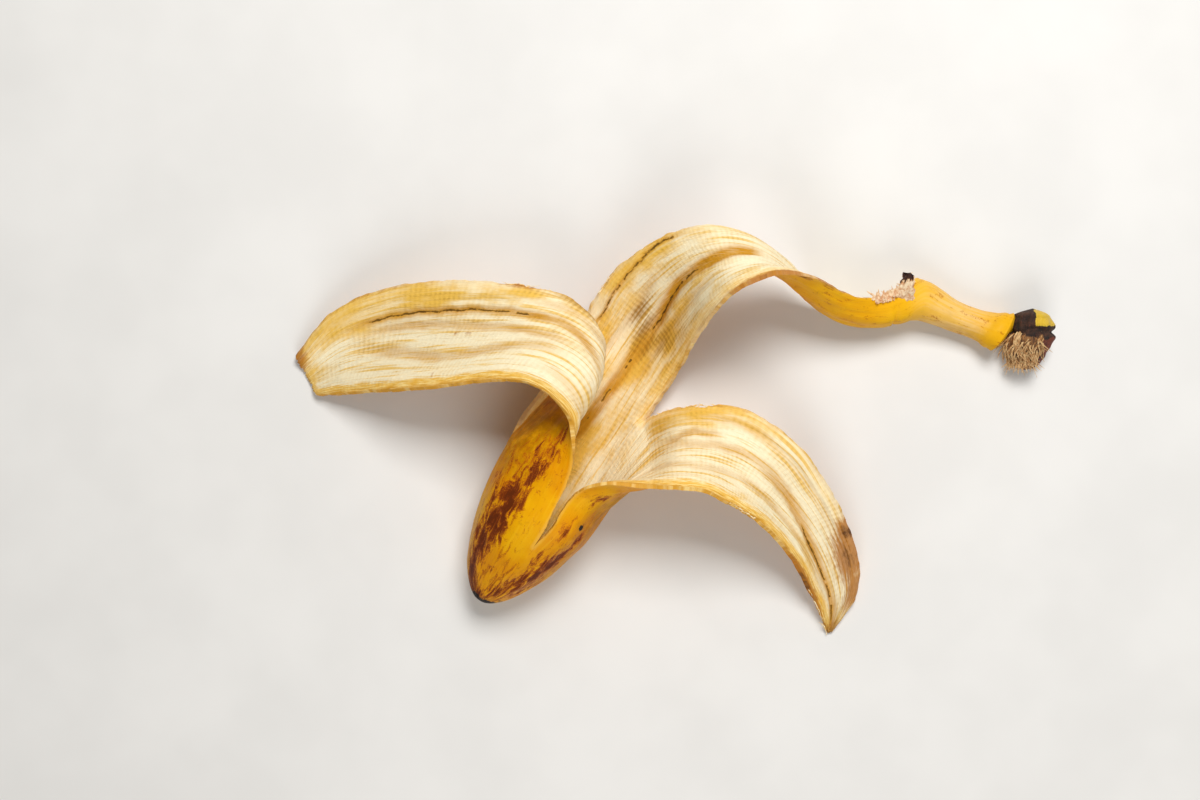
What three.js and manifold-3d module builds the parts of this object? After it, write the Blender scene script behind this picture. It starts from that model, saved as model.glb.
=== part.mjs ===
// A banana peel, opened from the stem end in three strips and laid on a table.
// The closed blossom end is a cup lying on its side. From its mouth one strip turns
// left and folds down, one runs straight on, twists over and keeps the stem, and one
// arches right and down to a point.
//
// Millimetres, +Z up. The origin is on the table, at the middle of the footprint.

import * as THREE from 'three';
import { mergeVertices } from 'three/addons/utils/BufferGeometryUtils.js';
import Module from 'manifold-3d';

// ---------------------------------------------------------------- driving dimensions

const THICKNESS = 2.8;          // of the peel
const END_THICKNESS = 1.5;      // at the free end of a strip, where it tore off thin
const END_TAPER = 14;           // length over which a strip thins to its free end
const FRUIT_RADIUS = 19;        // outside of the peel, round the thickest part
const TAPER_LENGTH = 52;        // over which the blossom end narrows to its tip
const TAPER_FULLNESS = 0.57;    // 0.5 is a half ellipse, less is blunter
const TIP_LIFT = 8.5;           // height of the blossom tip over the table
const LIFT_LENGTH = 24;         // from the tip to where the cup lies flat
const CUP_TIP = new THREE.Vector2(-37, -61.8);
const CUP_HEADING = 57.8;       // degrees from +X, from the tip to the mouth

// The three tears: the angle round the cup, and how far from the tip each one starts.
const TEARS = {
  top: { angle: 73, start: 21.5 },
  left: { angle: 188, start: 50 },
  right: { angle: 318, start: 75 },
};

// A strip hangs between its two torn edges. Each station past the tears gives how far
// along the peel it is, a point on the first edge, a point on the second edge, and the
// degrees through which the peel curls between them.
const STRIPS = {
  left: {
    tears: [TEARS.top, TEARS.left],
    first: [
      [32, -15.9, -36.8, 34.2], [45, -8.8, -23.5, 35.5], [60, -6.4, -12, 38.5],
      [66, -7, -7.3, 40.1], [72, -8, -2.5, 41.3], [78, -10.5, 1.5, 42.2],
      [84, -14, 4.8, 42.5], [90, -18.5, 7, 42], [100, -27, 8, 40], [112, -36.5, 7, 36],
      [126, -47.5, 5.3, 30.5], [142, -59, 4, 23.5], [158, -70.5, 2.7, 15],
      [172, -80.5, 1.6, 7.5], [184, -88.8, 1, 2],
    ],
    second: [
      [55, -22.6, -5.6, 17.6], [60, -18.8, -1.4, 18.2], [66, -13.6, 4.5, 18], [72, -8, 9.6, 17.6], [78, -3, 14.5, 18.5],
      [84, -0.3, 19.5, 20.2], [90, -1, 24.6, 22.3], [100, -7.5, 31.6, 24.3],
      [112, -19, 36, 26], [126, -34, 37.5, 23.5], [142, -50, 37.2, 18.5],
      [158, -67, 34.6, 12.5], [172, -83, 27.5, 7], [184, -94.4, 14.5, 2.4],
    ],
    curl: [
      [42, 112], [50, 104], [56, 80], [61, 42], [66, -5], [71, -50], [76, -76], [81, -80],
      [86, -56], [92, -24], [100, 10], [112, 48], [126, 65], [142, 75], [158, 75], [172, 70], [184, 60],
    ],
  },
  straight: {
    tears: [TEARS.left, TEARS.right],
    first: [
      [56, -23.6, -3.8, 14.4], [62, -20.2, 0.6, 12.6], [75, -13, 11.5, 10.5], [90, -4.5, 27, 9.5], [103, 2.9, 38.6, 13],
      [116, 12.3, 46.6, 19], [130, 23.4, 52.2, 25], [144, 34.8, 53.4, 28], [156, 45.6, 50, 23.5],
      [168, 56.5, 42.5, 13], [180, 65.5, 31.5, 4], [195, 77, 24.8, 0.6], [208, 88, 24.2, 0.5],
    ],
    second: [
      [90, 22, 5, 8], [103, 27, 13.5, 14], [116, 30.5, 20.5, 25], [130, 35, 28, 37],
      [144, 41, 34, 44], [156, 48, 37.5, 45], [168, 54.8, 39, 41], [180, 63, 38, 34],
      [195, 75.5, 33.3, 21.5], [208, 87.5, 32, 13],
    ],
    curl: [
      [50, 130], [62, 125], [75, 105], [90, 85], [103, 70], [116, 60], [130, 50], [144, 50],
      [156, 45], [168, 50], [180, 60], [195, 95], [208, 140],
    ],
  },
  right: {
    tears: [TEARS.right, TEARS.top],
    first: [
      [88, 25.5, -1, 15.5], [100, 36.7, 0.2, 19.5], [108, 46, -1.5, 21],
      [120, 59.8, -10.8, 20], [134, 69.8, -24.4, 15], [149, 76.8, -38, 10.5],
      [160, 80.3, -48.3, 7], [170, 80.6, -60, 3.8], [181, 73.2, -72.6, 0.5],
    ],
    second: [
      [32, -14.9, -37.8, 34.2], [45, -6.5, -26.5, 35.5], [60, 2, -22, 38], [75, 14, -23, 38], [88, 24, -23.5, 39],
      [100, 33, -25, 37.5], [108, 38, -28, 34.5], [120, 43.5, -31.5, 31],
      [134, 50.5, -37.5, 24.5], [149, 59, -48.5, 15], [160, 64, -58, 8.5],
      [170, 68, -66, 4], [181, 70.8, -73, 0.5],
    ],
    curl: [
      [45, 112], [60, 105], [75, 85], [88, 55], [100, 65], [108, 75], [120, 90],
      [134, 105], [149, 105], [160, 95], [170, 80], [181, 30],
    ],
  },
};

// The neck and the stem, which the straight strip rolls up into. Each station gives the
// middle and the radius, and the two angles between which the peel reaches round it.
const NECK_BLEND = [200, 211];
const NECK = [
  [200, 81, 30.5, 8.2, 8.2, -40, 104], [206, 86.5, 30.8, 7.6, 8.2, -48, 108],
  [211, 91, 31.2, 7.4, 8, -85, 125], [215, 94.8, 31.6, 7.3, 7.5, -130, 160],
  [218, 97.7, 31.2, 6.7, 6.8, -160, 200], [223, 102, 29.6, 6, 5.8, -160, 200],
  [230, 108, 26.8, 5.2, 4.9, -160, 200], [238, 115, 24.2, 4.9, 4.7, -160, 200],
  [246, 121.8, 22.2, 5.4, 5.2, -160, 200], [251, 126, 21.2, 6, 5.9, -160, 200],
  [254, 128.5, 20.8, 6, 4.4, -160, 200], [255, 129.3, 20.7, 6, 0, -160, 200],
];
const NECK_CLOSED_AT = 218;
const HOLLOW_END = 225;         // the peel's hollow ends here, and the stem is solid

// The broken crown on the end of the stem: middle, half width along the stem, half height.
const CROWN = [
  [0, 132.6, 28.8, 8.4, 0, 0], [0.6, 132.7, 28, 8.4, 2.4, 2.6], [3, 133, 25.6, 8, 4.4, 5],
  [8, 133.4, 20.8, 7, 5.4, 6.4], [13, 132.4, 15.8, 5.4, 5.2, 5.2], [17, 131.4, 11.8, 3.6, 3.4, 3.4],
  [18.4, 131, 10.4, 2.8, 1.8, 1.6], [19, 130.9, 9.8, 2.6, 0, 0],
];

const COLUMNS = 10;             // facets across a strip
const CUP_STATIONS = [0, 1, 3, 6.5, 11, 16, 21.5, 27, 32.5, 38.5, 44.5, 50, 54, 58, 62, 66.5, 71, 75];
const STATION_STEP = 4;
const TABLE_BLOCK = [400, 400, 20];
const TABLE_BITE = 0.4;         // depth of the flat spots where the peel lies on the table
const FOOTPRINT_MIDDLE = new THREE.Vector2(22.2, -9.45);

const UP = new THREE.Vector3(0, 0, 1);
const heading = THREE.MathUtils.degToRad(CUP_HEADING);
const ALONG_CUP = new THREE.Vector3(Math.cos(heading), Math.sin(heading), 0);
const RIGHT_OF_CUP = new THREE.Vector3(Math.sin(heading), -Math.cos(heading), 0);

// ---------------------------------------------------------------- curves

// A smooth curve through rows of [where, value, value, ...], as a function of where.
function curveThrough(rows) {
  const size = rows[0].length - 1;
  const slopes = rows.map((row, i) => {
    const before = rows[Math.max(i - 1, 0)];
    const after = rows[Math.min(i + 1, rows.length - 1)];
    return Array.from({ length: size }, (_, k) => {
      const rise = (a, b) => (b[k + 1] - a[k + 1]) / (b[0] - a[0]);
      if (before === row) return rise(row, after);
      if (after === row) return rise(before, row);
      const left = row[0] - before[0];
      const right = after[0] - row[0];
      return (rise(before, row) * right + rise(row, after) * left) / (left + right);
    });
  });
  return (where) => {
    let i = 0;
    while (i < rows.length - 2 && where > rows[i + 1][0]) i += 1;
    const span = rows[i + 1][0] - rows[i][0];
    const t = THREE.MathUtils.clamp((where - rows[i][0]) / span, 0, 1);
    const fromStart = 2 * t ** 3 - 3 * t ** 2 + 1;
    const fromEnd = 1 - fromStart;
    const leaving = (t ** 3 - 2 * t ** 2 + t) * span;
    const arriving = (t ** 3 - t ** 2) * span;
    return Array.from({ length: size }, (_, k) => (
      fromStart * rows[i][k + 1] + fromEnd * rows[i + 1][k + 1]
      + leaving * slopes[i][k] + arriving * slopes[i + 1][k]
    ));
  };
}

// ---------------------------------------------------------------- the cup

function cupRadius(along) {
  const left = Math.max(1 - along / TAPER_LENGTH, 0);
  return FRUIT_RADIUS * (1 - left ** 2) ** TAPER_FULLNESS;
}

function cupMiddle(along) {
  const lift = TIP_LIFT * Math.max(1 - along / LIFT_LENGTH, 0) ** 5;
  return new THREE.Vector3(CUP_TIP.x, CUP_TIP.y, cupRadius(along) + lift)
    .addScaledVector(ALONG_CUP, along);
}

function outwards(angle) {
  const turn = THREE.MathUtils.degToRad(angle);
  return new THREE.Vector3()
    .addScaledVector(RIGHT_OF_CUP, Math.cos(turn))
    .addScaledVector(UP, Math.sin(turn));
}

function onCup(along, angle) {
  return cupMiddle(along).addScaledVector(outwards(angle), cupRadius(along));
}

// ---------------------------------------------------------------- the strips

// A torn edge follows the cup as far as its tear, then its own stations.
function tornEdge(tear, angle, stations) {
  const last = [tear.start - 6, tear.start].map((at) => [at, ...onCup(at, angle).toArray()]);
  const free = curveThrough([...last, ...stations.filter((row) => row[0] > tear.start)]);
  return (along) => (
    along <= tear.start ? onCup(along, angle) : new THREE.Vector3(...free(along))
  );
}

function makeStrip({ tears: [tearA, tearB], first, second, curl }) {
  const angleA = tearA.angle;
  const angleB = tearB.angle > angleA ? tearB.angle : tearB.angle + 360;
  const edgeA = tornEdge(tearA, angleA, first);
  const edgeB = tornEdge(tearB, angleB, second);
  const onFruit = [[0, angleB - angleA], [TEARS.top.start, angleB - angleA]];
  const curlAt = curveThrough([...onFruit, ...curl]);
  const middle = (along) => edgeA(along).add(edgeB(along)).multiplyScalar(0.5);
  const cupNormal = outwards((angleA + angleB) / 2);

  // across runs from -0.5 on the first edge to 0.5 on the second
  return (along, across) => {
    const a = edgeA(along);
    const b = edgeB(along);
    if (across === -0.5) return a;
    if (across === 0.5) return b;
    const chord = b.clone().sub(a);
    const width = chord.length();
    const sideways = chord.divideScalar(width || 1);
    const forwards = middle(along + 0.5).sub(middle(Math.max(along - 0.5, 0))).normalize();
    const normal = forwards.cross(sideways).normalize();
    const free = THREE.MathUtils.smoothstep(along, TEARS.top.start, TEARS.top.start + 22);
    normal.lerp(cupNormal, 1 - free).normalize();
    const curlNow = THREE.MathUtils.degToRad(curlAt(along)[0]);
    const bend = Math.abs(curlNow) < 0.02 ? 0.02 : curlNow;
    const radius = width / (2 * Math.sin(bend / 2));
    return a.add(b).multiplyScalar(0.5)
      .addScaledVector(sideways, radius * Math.sin(bend * across))
      .addScaledVector(normal, radius * (Math.cos(bend * across) - Math.cos(bend / 2)));
  };
}

// ---------------------------------------------------------------- the neck and stem

const neckAt = curveThrough(NECK);

function neckMiddle(along) {
  return new THREE.Vector3(...neckAt(along).slice(0, 3));
}

function onNeck(along, across) {
  const [, , , radius, from, to] = neckAt(along);
  const forwards = neckMiddle(along + 0.5).sub(neckMiddle(along - 0.5)).normalize();
  const side = forwards.clone().cross(UP).normalize();
  const top = side.clone().cross(forwards);
  const turn = THREE.MathUtils.degToRad(THREE.MathUtils.lerp(from, to, across + 0.5));
  return neckMiddle(along)
    .addScaledVector(side, radius * Math.cos(turn))
    .addScaledVector(top, radius * Math.sin(turn));
}

function withNeck(strip) {
  return (along, across) => {
    const rolled = THREE.MathUtils.smoothstep(along, ...NECK_BLEND);
    if (rolled === 0) return strip(along, across);
    if (rolled === 1) {
      const closed = along >= NECK_CLOSED_AT && across === 0.5;
      return onNeck(along, closed ? -0.5 : across);
    }
    return strip(along, across).lerp(onNeck(along, across), rolled);
  };
}

// ---------------------------------------------------------------- the solid

// Points that fall on the same place become one, so that neighbours share their edges.
class SharedPoints {
  constructor() {
    this.points = [];
    this.places = new Map();
  }

  add(point) {
    const place = point.toArray().map((v) => Math.round(v * 1000)).join();
    if (!this.places.has(place)) {
      this.places.set(place, this.points.length);
      this.points.push(point);
    }
    return this.places.get(place);
  }
}

function stationsTo(end) {
  const start = CUP_STATIONS.at(-1);
  const steps = Math.round((end - start) / STATION_STEP);
  const free = Array.from({ length: steps }, (_, i) => start + ((end - start) * (i + 1)) / steps);
  return [...CUP_STATIONS, ...free];
}

// Adds a grid of points and its triangles, each as three indices, without empty ones.
function addSheet(shared, triangles, stations, columns, pointAt) {
  const grid = stations.map((along) => columns.map((across) => shared.add(pointAt(along, across))));
  for (let i = 0; i < stations.length - 1; i += 1) {
    for (let j = 0; j < columns.length - 1; j += 1) {
      const [a, b, c, d] = [grid[i][j], grid[i + 1][j], grid[i + 1][j + 1], grid[i][j + 1]];
      [[a, b, c], [a, c, d]].forEach((face) => {
        if (new Set(face).size === 3) triangles.push(face);
      });
    }
  }
  return grid;
}

function pointNormals(points, triangles) {
  const normals = points.map(() => new THREE.Vector3());
  triangles.forEach((face) => {
    const [a, b, c] = face.map((i) => points[i]);
    const normal = b.clone().sub(a).cross(c.clone().sub(a));
    face.forEach((i) => normals[i].add(normal));
  });
  return normals.map((normal) => normal.normalize());
}

// Edges that only one triangle has: the torn edges of the peel.
function openEdges(triangles) {
  const edges = new Map();
  triangles.forEach(([a, b, c]) => {
    [[a, b], [b, c], [c, a]].forEach(([from, to]) => edges.set(`${from} ${to}`, [from, to]));
  });
  return [...edges.values()].filter(([from, to]) => !edges.has(`${to} ${from}`));
}

function peelSolid() {
  const columns = Array.from({ length: COLUMNS + 1 }, (_, i) => i / COLUMNS - 0.5);
  const skin = new SharedPoints();
  const outside = [];
  const thickness = [];
  const neckDepth = new Map();  // for points of the neck, their station
  const straight = withNeck(makeStrip(STRIPS.straight));
  const sheets = [
    [makeStrip(STRIPS.left), stationsTo(STRIPS.left.curl.at(-1)[0])],
    [makeStrip(STRIPS.right), stationsTo(STRIPS.right.curl.at(-1)[0])],
    [straight, [...stationsTo(NECK_CLOSED_AT), ...stemStations()]],
  ];
  sheets.forEach(([pointAt, stations]) => {
    const grid = addSheet(skin, outside, stations, columns, pointAt);
    stations.forEach((along, i) => {
      const toEnd = Math.min((stations.at(-1) - along) / END_TAPER, 1);
      grid[i].forEach((index) => {
        thickness[index] = THREE.MathUtils.lerp(END_THICKNESS, THICKNESS, toEnd);
        if (pointAt === straight && along >= NECK_BLEND[0]) neckDepth.set(index, along);
      });
    });
  });

  const outer = skin.points;
  const normals = pointNormals(outer, outside);
  const inner = outer.map((point, i) => {
    const flesh = point.clone().addScaledVector(normals[i], -thickness[i]);
    if (!neckDepth.has(i)) return flesh;
    const along = neckDepth.get(i);
    const closing = THREE.MathUtils.smoothstep(along, NECK_BLEND[1], HOLLOW_END);
    return flesh.lerp(neckMiddle(along), closing);
  });

  const whole = new SharedPoints();
  const faces = [];
  const put = (corners) => {
    const face = corners.map((point) => whole.add(point));
    if (new Set(face).size === 3) faces.push(face);
  };
  outside.forEach((face) => put(face.map((i) => outer[i])));
  outside.forEach(([a, b, c]) => {
    const hollow = [a, b, c].every((i) => (neckDepth.get(i) ?? 0) <= HOLLOW_END);
    if (hollow) put([inner[c], inner[b], inner[a]]);
  });
  openEdges(outside).forEach(([a, b]) => {
    put([outer[b], outer[a], inner[a]]);
    put([outer[b], inner[a], inner[b]]);
  });
  return meshOf(whole.points, faces);
}

function stemStations() {
  return NECK.map((row) => row[0]).filter((along) => along > NECK_CLOSED_AT)
    .concat(HOLLOW_END, 226.5, 234, 242, 248.5, 252.7)
    .sort((a, b) => a - b);
}

// A closed lump lofted along its rows, round in section.
function crownSolid() {
  const at = curveThrough(CROWN);
  const sides = 14;
  const around = Array.from({ length: sides + 1 }, (_, i) => i / sides);
  const shared = new SharedPoints();
  const faces = [];
  const rows = CROWN.map((row) => row[0]).concat(1.6, 5.4, 10.5, 15).sort((a, b) => a - b);
  addSheet(shared, faces, rows, around, (along, turn) => {
    const [x, y, z, halfLength, halfHeight] = at(along);
    const angle = -turn * 2 * Math.PI;
    return new THREE.Vector3(
      x + halfLength * Math.cos(turn === 1 ? 0 : angle),
      y,
      z + halfHeight * Math.sin(turn === 1 ? 0 : angle),
    );
  });
  return meshOf(shared.points, faces);
}

function meshOf(points, faces) {
  const geometry = new THREE.BufferGeometry();
  geometry.setAttribute('position', new THREE.Float32BufferAttribute(points.flatMap((p) => p.toArray()), 3));
  geometry.setIndex(faces.flat());
  return geometry;
}

// ---------------------------------------------------------------- joining and cutting

const wasm = await Module();
wasm.setup();

function solidOf(geometry) {
  return new wasm.Manifold(new wasm.Mesh({
    numProp: 3,
    vertProperties: new Float32Array(geometry.attributes.position.array),
    triVerts: new Uint32Array(geometry.index.array),
  }));
}

function geometryOf(solid) {
  const { vertProperties, triVerts } = solid.getMesh();
  const geometry = new THREE.BufferGeometry();
  geometry.setAttribute('position', new THREE.BufferAttribute(vertProperties, 3));
  geometry.setIndex(new THREE.BufferAttribute(triVerts, 1));
  return geometry;
}

// What lies below the table's top is cut off, which leaves the flat spots.
function tableBelow(top) {
  const slab = new THREE.BoxGeometry(...TABLE_BLOCK).translate(0, 0, top - TABLE_BLOCK[2] / 2);
  slab.deleteAttribute('normal');
  slab.deleteAttribute('uv');
  return mergeVertices(slab);
}

const shell = solidOf(peelSolid());
const crown = solidOf(crownSolid());
const peel = shell.add(crown).subtract(solidOf(tableBelow(TABLE_BITE)));

const geometry = geometryOf(peel)
  .translate(-FOOTPRINT_MIDDLE.x, -FOOTPRINT_MIDDLE.y, -TABLE_BITE);

const material = new THREE.MeshStandardMaterial({ color: 0xe8c86a, roughness: 0.6, metalness: 0 });
const mesh = new THREE.Mesh(geometry, material);
mesh.name = 'banana_peel';

const group = new THREE.Group();
group.add(mesh);

export default group;
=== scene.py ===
"""A banana peel torn into three strips, with its broken crown, loose fibres and a studio."""

import math
from contextlib import contextmanager
from typing import NamedTuple

import bpy
import numpy as np
from bpy.props import FloatProperty, FloatVectorProperty, IntProperty, PointerProperty
from mathutils import Matrix, Vector, noise


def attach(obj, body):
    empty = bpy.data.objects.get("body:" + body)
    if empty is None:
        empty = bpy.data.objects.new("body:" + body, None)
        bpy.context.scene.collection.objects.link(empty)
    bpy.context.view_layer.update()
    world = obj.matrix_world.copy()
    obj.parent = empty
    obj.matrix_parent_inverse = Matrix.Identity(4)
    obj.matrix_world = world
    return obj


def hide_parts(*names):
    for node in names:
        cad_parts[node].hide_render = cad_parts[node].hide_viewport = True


bl_info = {
    "name": "Banana peel",
    "version": (1, 0, 0),
    "blender": (4, 5, 0),
    "location": "3D View > Sidebar > Peel",
    "description": "Builds a torn banana peel with its crown and fibres, and a small studio",
    "category": "Add Mesh",
}

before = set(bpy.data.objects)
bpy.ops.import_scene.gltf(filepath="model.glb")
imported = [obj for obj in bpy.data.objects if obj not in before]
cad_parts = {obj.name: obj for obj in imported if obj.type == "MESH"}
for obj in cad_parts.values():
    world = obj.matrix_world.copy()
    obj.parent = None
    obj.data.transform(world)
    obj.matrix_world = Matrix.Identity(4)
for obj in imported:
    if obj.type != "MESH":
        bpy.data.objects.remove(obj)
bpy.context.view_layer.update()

MM = 0.001
BODY = "root"
CAD_NODE = "banana_peel"

# ---------------------------------------------------------------- the shape, in millimetres

LAYOUT_MIDDLE = np.array([22.2, -9.45, 0.4])    # where the layout below has the part's own origin

FRUIT_RADIUS = 19
TAPER_LENGTH = 52       # from the blossom tip to the full radius
TAPER_FULLNESS = 0.57   # 0.5 is an ellipse, and more is more pointed
TIP_LIFT = 8.5          # how high the tip is off the table
LIFT_LENGTH = 24        # how far from the tip the fruit lies down on the table
LIFT_POWER = 5
CUP_TIP = np.array([-37.0, -61.8, 0.0])
CUP_HEADING = math.radians(57.8)

UP = np.array([0.0, 0.0, 1.0])
ALONG_CUP = np.array([math.cos(CUP_HEADING), math.sin(CUP_HEADING), 0.0])
RIGHT_OF_CUP = np.array([math.sin(CUP_HEADING), -math.cos(CUP_HEADING), 0.0])

# The three tears: where round the fruit, in degrees, and how far from the tip each starts.
TEARS = {"top": (73, 27), "left": (188, 50), "right": (318, 75)}
NORMAL_BLEND = 22       # past the first tear, how far a strip takes to leave the cup's own facing
STRIP_SEEDS = {"left": 4, "straight": 8, "right": 5}

# Each strip's two torn edges as rows of station, x, y, z, and its curl as rows of station, degrees.
STRIPS = {
    "left": {
        "tears": ("top", "left"),
        "end": 184,
        "first": [
            (33, -15.1, -36.0, 34.3), (45, -8.8, -23.5, 35.5), (60, -6.4, -12, 38.5),
            (66, -7, -7.3, 40.1), (72, -8, -2.5, 41.3), (78, -10.5, 1.5, 42.2),
            (84, -14, 4.8, 42.5), (90, -18.5, 7, 42), (100, -27, 8, 40), (112, -36.5, 7, 36),
            (126, -47.5, 5.3, 30.5), (142, -59, 4, 23.5), (158, -70.5, 2.7, 15),
            (172, -80.5, 1.6, 7.5), (184, -88.8, 1, 2),
        ],
        "second": [
            (55, -22.6, -5.6, 17.6), (60, -18.8, -1.4, 18.2), (66, -13.6, 4.5, 18),
            (72, -8, 9.6, 17.6), (78, -3, 14.5, 18.5), (84, -0.3, 19.5, 20.2),
            (90, -1, 24.6, 22.3), (100, -7.5, 31.6, 24.3), (112, -19, 36, 26),
            (126, -34, 37.5, 23.5), (142, -50, 37.2, 18.5), (158, -67, 34.6, 12.5),
            (172, -83.6, 27.2, 7), (184, -96, 13, 2.4),
        ],
        "curl": [
            (42, 112), (50, 104), (56, 80), (61, 42), (66, -5), (71, -50), (76, -76), (81, -80),
            (86, -56), (92, -24), (100, 10), (112, 48), (126, 65), (142, 75), (158, 75),
            (172, 70), (184, 60),
        ],
    },
    "straight": {
        "tears": ("left", "right"),
        "end": 255,
        "first": [
            (56, -23.6, -3.8, 14.4), (62, -20.2, 0.6, 12.6), (75, -13, 11.5, 10.5),
            (90, -4.5, 27, 9.5), (103, 2.9, 38.6, 13), (116, 12.3, 46.6, 19),
            (130, 23.4, 52.2, 25), (144, 34.8, 53.4, 28), (156, 45.6, 50, 23.5),
            (168, 56.5, 42.5, 13), (180, 65.5, 31.5, 4), (195, 77, 24.8, 0.6), (208, 88, 24.2, 0.5),
        ],
        "second": [
            (90, 22, 5, 8), (103, 27, 13.5, 14), (116, 30.5, 20.5, 25), (130, 35, 28, 37),
            (144, 41, 34, 44), (156, 48, 37.5, 45), (168, 54.8, 39, 41), (180, 63, 38, 34),
            (195, 75.5, 33.3, 21.5), (208, 87.5, 32, 13),
        ],
        "curl": [
            (50, 130), (62, 125), (75, 105), (90, 85), (103, 70), (116, 60), (130, 50),
            (144, 50), (156, 45), (168, 50), (180, 60), (195, 95), (208, 140),
        ],
    },
    "right": {
        "tears": ("right", "top"),
        "end": 181,
        "first": [
            (88, 25.5, -1, 15.5), (100, 36.7, 0.2, 19.5), (108, 46, -1.5, 21),
            (120, 59.8, -10.8, 20), (134, 69.8, -24.4, 15), (149, 76.8, -38, 10.5),
            (160, 80.3, -48.3, 7), (170, 80.6, -60, 3.8), (181, 73.2, -72.6, 0.5),
        ],
        "second": [
            (33, -14.3, -36.6, 34.3), (45, -6.9, -25.9, 35.6), (60, 2, -22, 38), (75, 14, -23, 38),
            (88, 24, -23.5, 39), (100, 33, -25, 37.5), (108, 38, -28, 34.5), (120, 43.5, -31.5, 31),
            (134, 50.5, -37.5, 24.5), (149, 59, -48.5, 15), (160, 64, -58, 8.5),
            (170, 68, -66, 4), (181, 70.8, -73, 0.5),
        ],
        "curl": [
            (45, 112), (60, 105), (75, 85), (88, 55), (100, 65), (108, 75), (120, 90),
            (134, 105), (149, 105), (160, 95), (170, 80), (181, 30),
        ],
    },
}

# The neck and stem that the straight strip rolls up into: station, middle, radius, and the two
# angles between which the peel reaches round it.
NECK_BLEND = (200, 211)
NECK = [
    (200, 81, 30.5, 8.2, 8.2, -40, 104), (206, 86.5, 30.8, 7.6, 8.1, -48, 108),
    (211, 91, 31.2, 7.0, 7.4, -85, 125), (215, 94.8, 31.6, 6.6, 6.9, -130, 160),
    (218, 97.7, 31.2, 6.4, 6.5, -160, 200), (223, 102, 29.6, 6, 5.8, -160, 200),
    (230, 108, 26.8, 5.2, 4.9, -160, 200), (238, 115, 24.2, 4.9, 4.7, -160, 200),
    (246, 121.8, 22.2, 5.4, 5.2, -160, 200), (251, 126, 21.2, 6, 5.9, -160, 200),
    (254, 128.5, 20.8, 6, 4.4, -160, 200), (255, 129.3, 20.7, 6, 0, -160, 200),
]
NECK_CLOSED_AT = 218
HOLLOW_END = 225
STEM_SLANT = (234, 253)     # the stem's broken end is slanted between these stations
STEM_SHORT = 2              # how much shorter it is on its far side, in mm
STEM_SHORTER = 5            # and how much more on its near side

# The broken crown: how far down it, middle, half length, half height.
CROWN = [
    (0, 131.6, 28.8, 8.6, 0, 0), (0.6, 131.7, 28, 8.6, 2.8, 2.6), (3, 131.9, 25.6, 8.2, 5.6, 5),
    (8, 131.5, 20.8, 7, 6.6, 6.4), (13, 130.7, 15.8, 5.4, 6.4, 5.2),
    (17, 130.8, 11.8, 3.6, 3.8, 3.4), (18.4, 130.8, 10.4, 2.8, 2.0, 1.6),
    (19, 130.7, 9.8, 2.6, 0, 0),
]
CROWN_LENGTH = 19

END_TAPER = 14          # a strip thins out over this length before its torn end
END_CORNER = 0.9        # how far the torn end's corners are rounded back

# How golden each torn edge is: the near edges of the two side strips show their slanted wall.
GOLD_EDGES = {"left": (1.0, 0.25), "straight": (0.3, 0.55), "right": (0.3, 1.0)}

# ---------------------------------------------------------------- marks on the peel

# The paths that a fold and its crack share, as rows of station and place across.
LEFT_CRACK = [
    (40, 0.23), (70, 0.05), (79, 0.01), (84, 0.09), (90, 0.165), (97, 0.21), (105, 0.22),
    (113, 0.235), (150, 0.24), (166, 0.22), (184, 0.2),
]
RIGHT_FOLD = [
    (60, 0.03), (100, -0.03), (117, -0.06), (135.5, -0.01), (150, 0.125), (164.5, 0.16),
    (177, 0.14), (181, 0.13),
]
MAIN_FOLD = [
    (40, 0.05), (63, 0.045), (75, 0.06), (86, 0.08), (94, 0.09), (103, 0.08), (111, 0.04),
    (122, -0.02), (137, -0.045), (147, -0.1), (154.5, -0.13), (165, -0.17), (208, -0.18),
]


class Line(NamedTuple):
    """A fold or crack that runs down the flesh. Its path is rows of station and place across,
    from -0.5 on the first edge to 0.5 on the second, and the mesh follows one that is led.
    The fade, width and depth are in mm, and crack says how much of it is open."""
    path: list
    seen: tuple
    fade: float
    width: float
    depth: float
    ochre: float
    crack: float = 0.0
    led: bool = False


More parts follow.
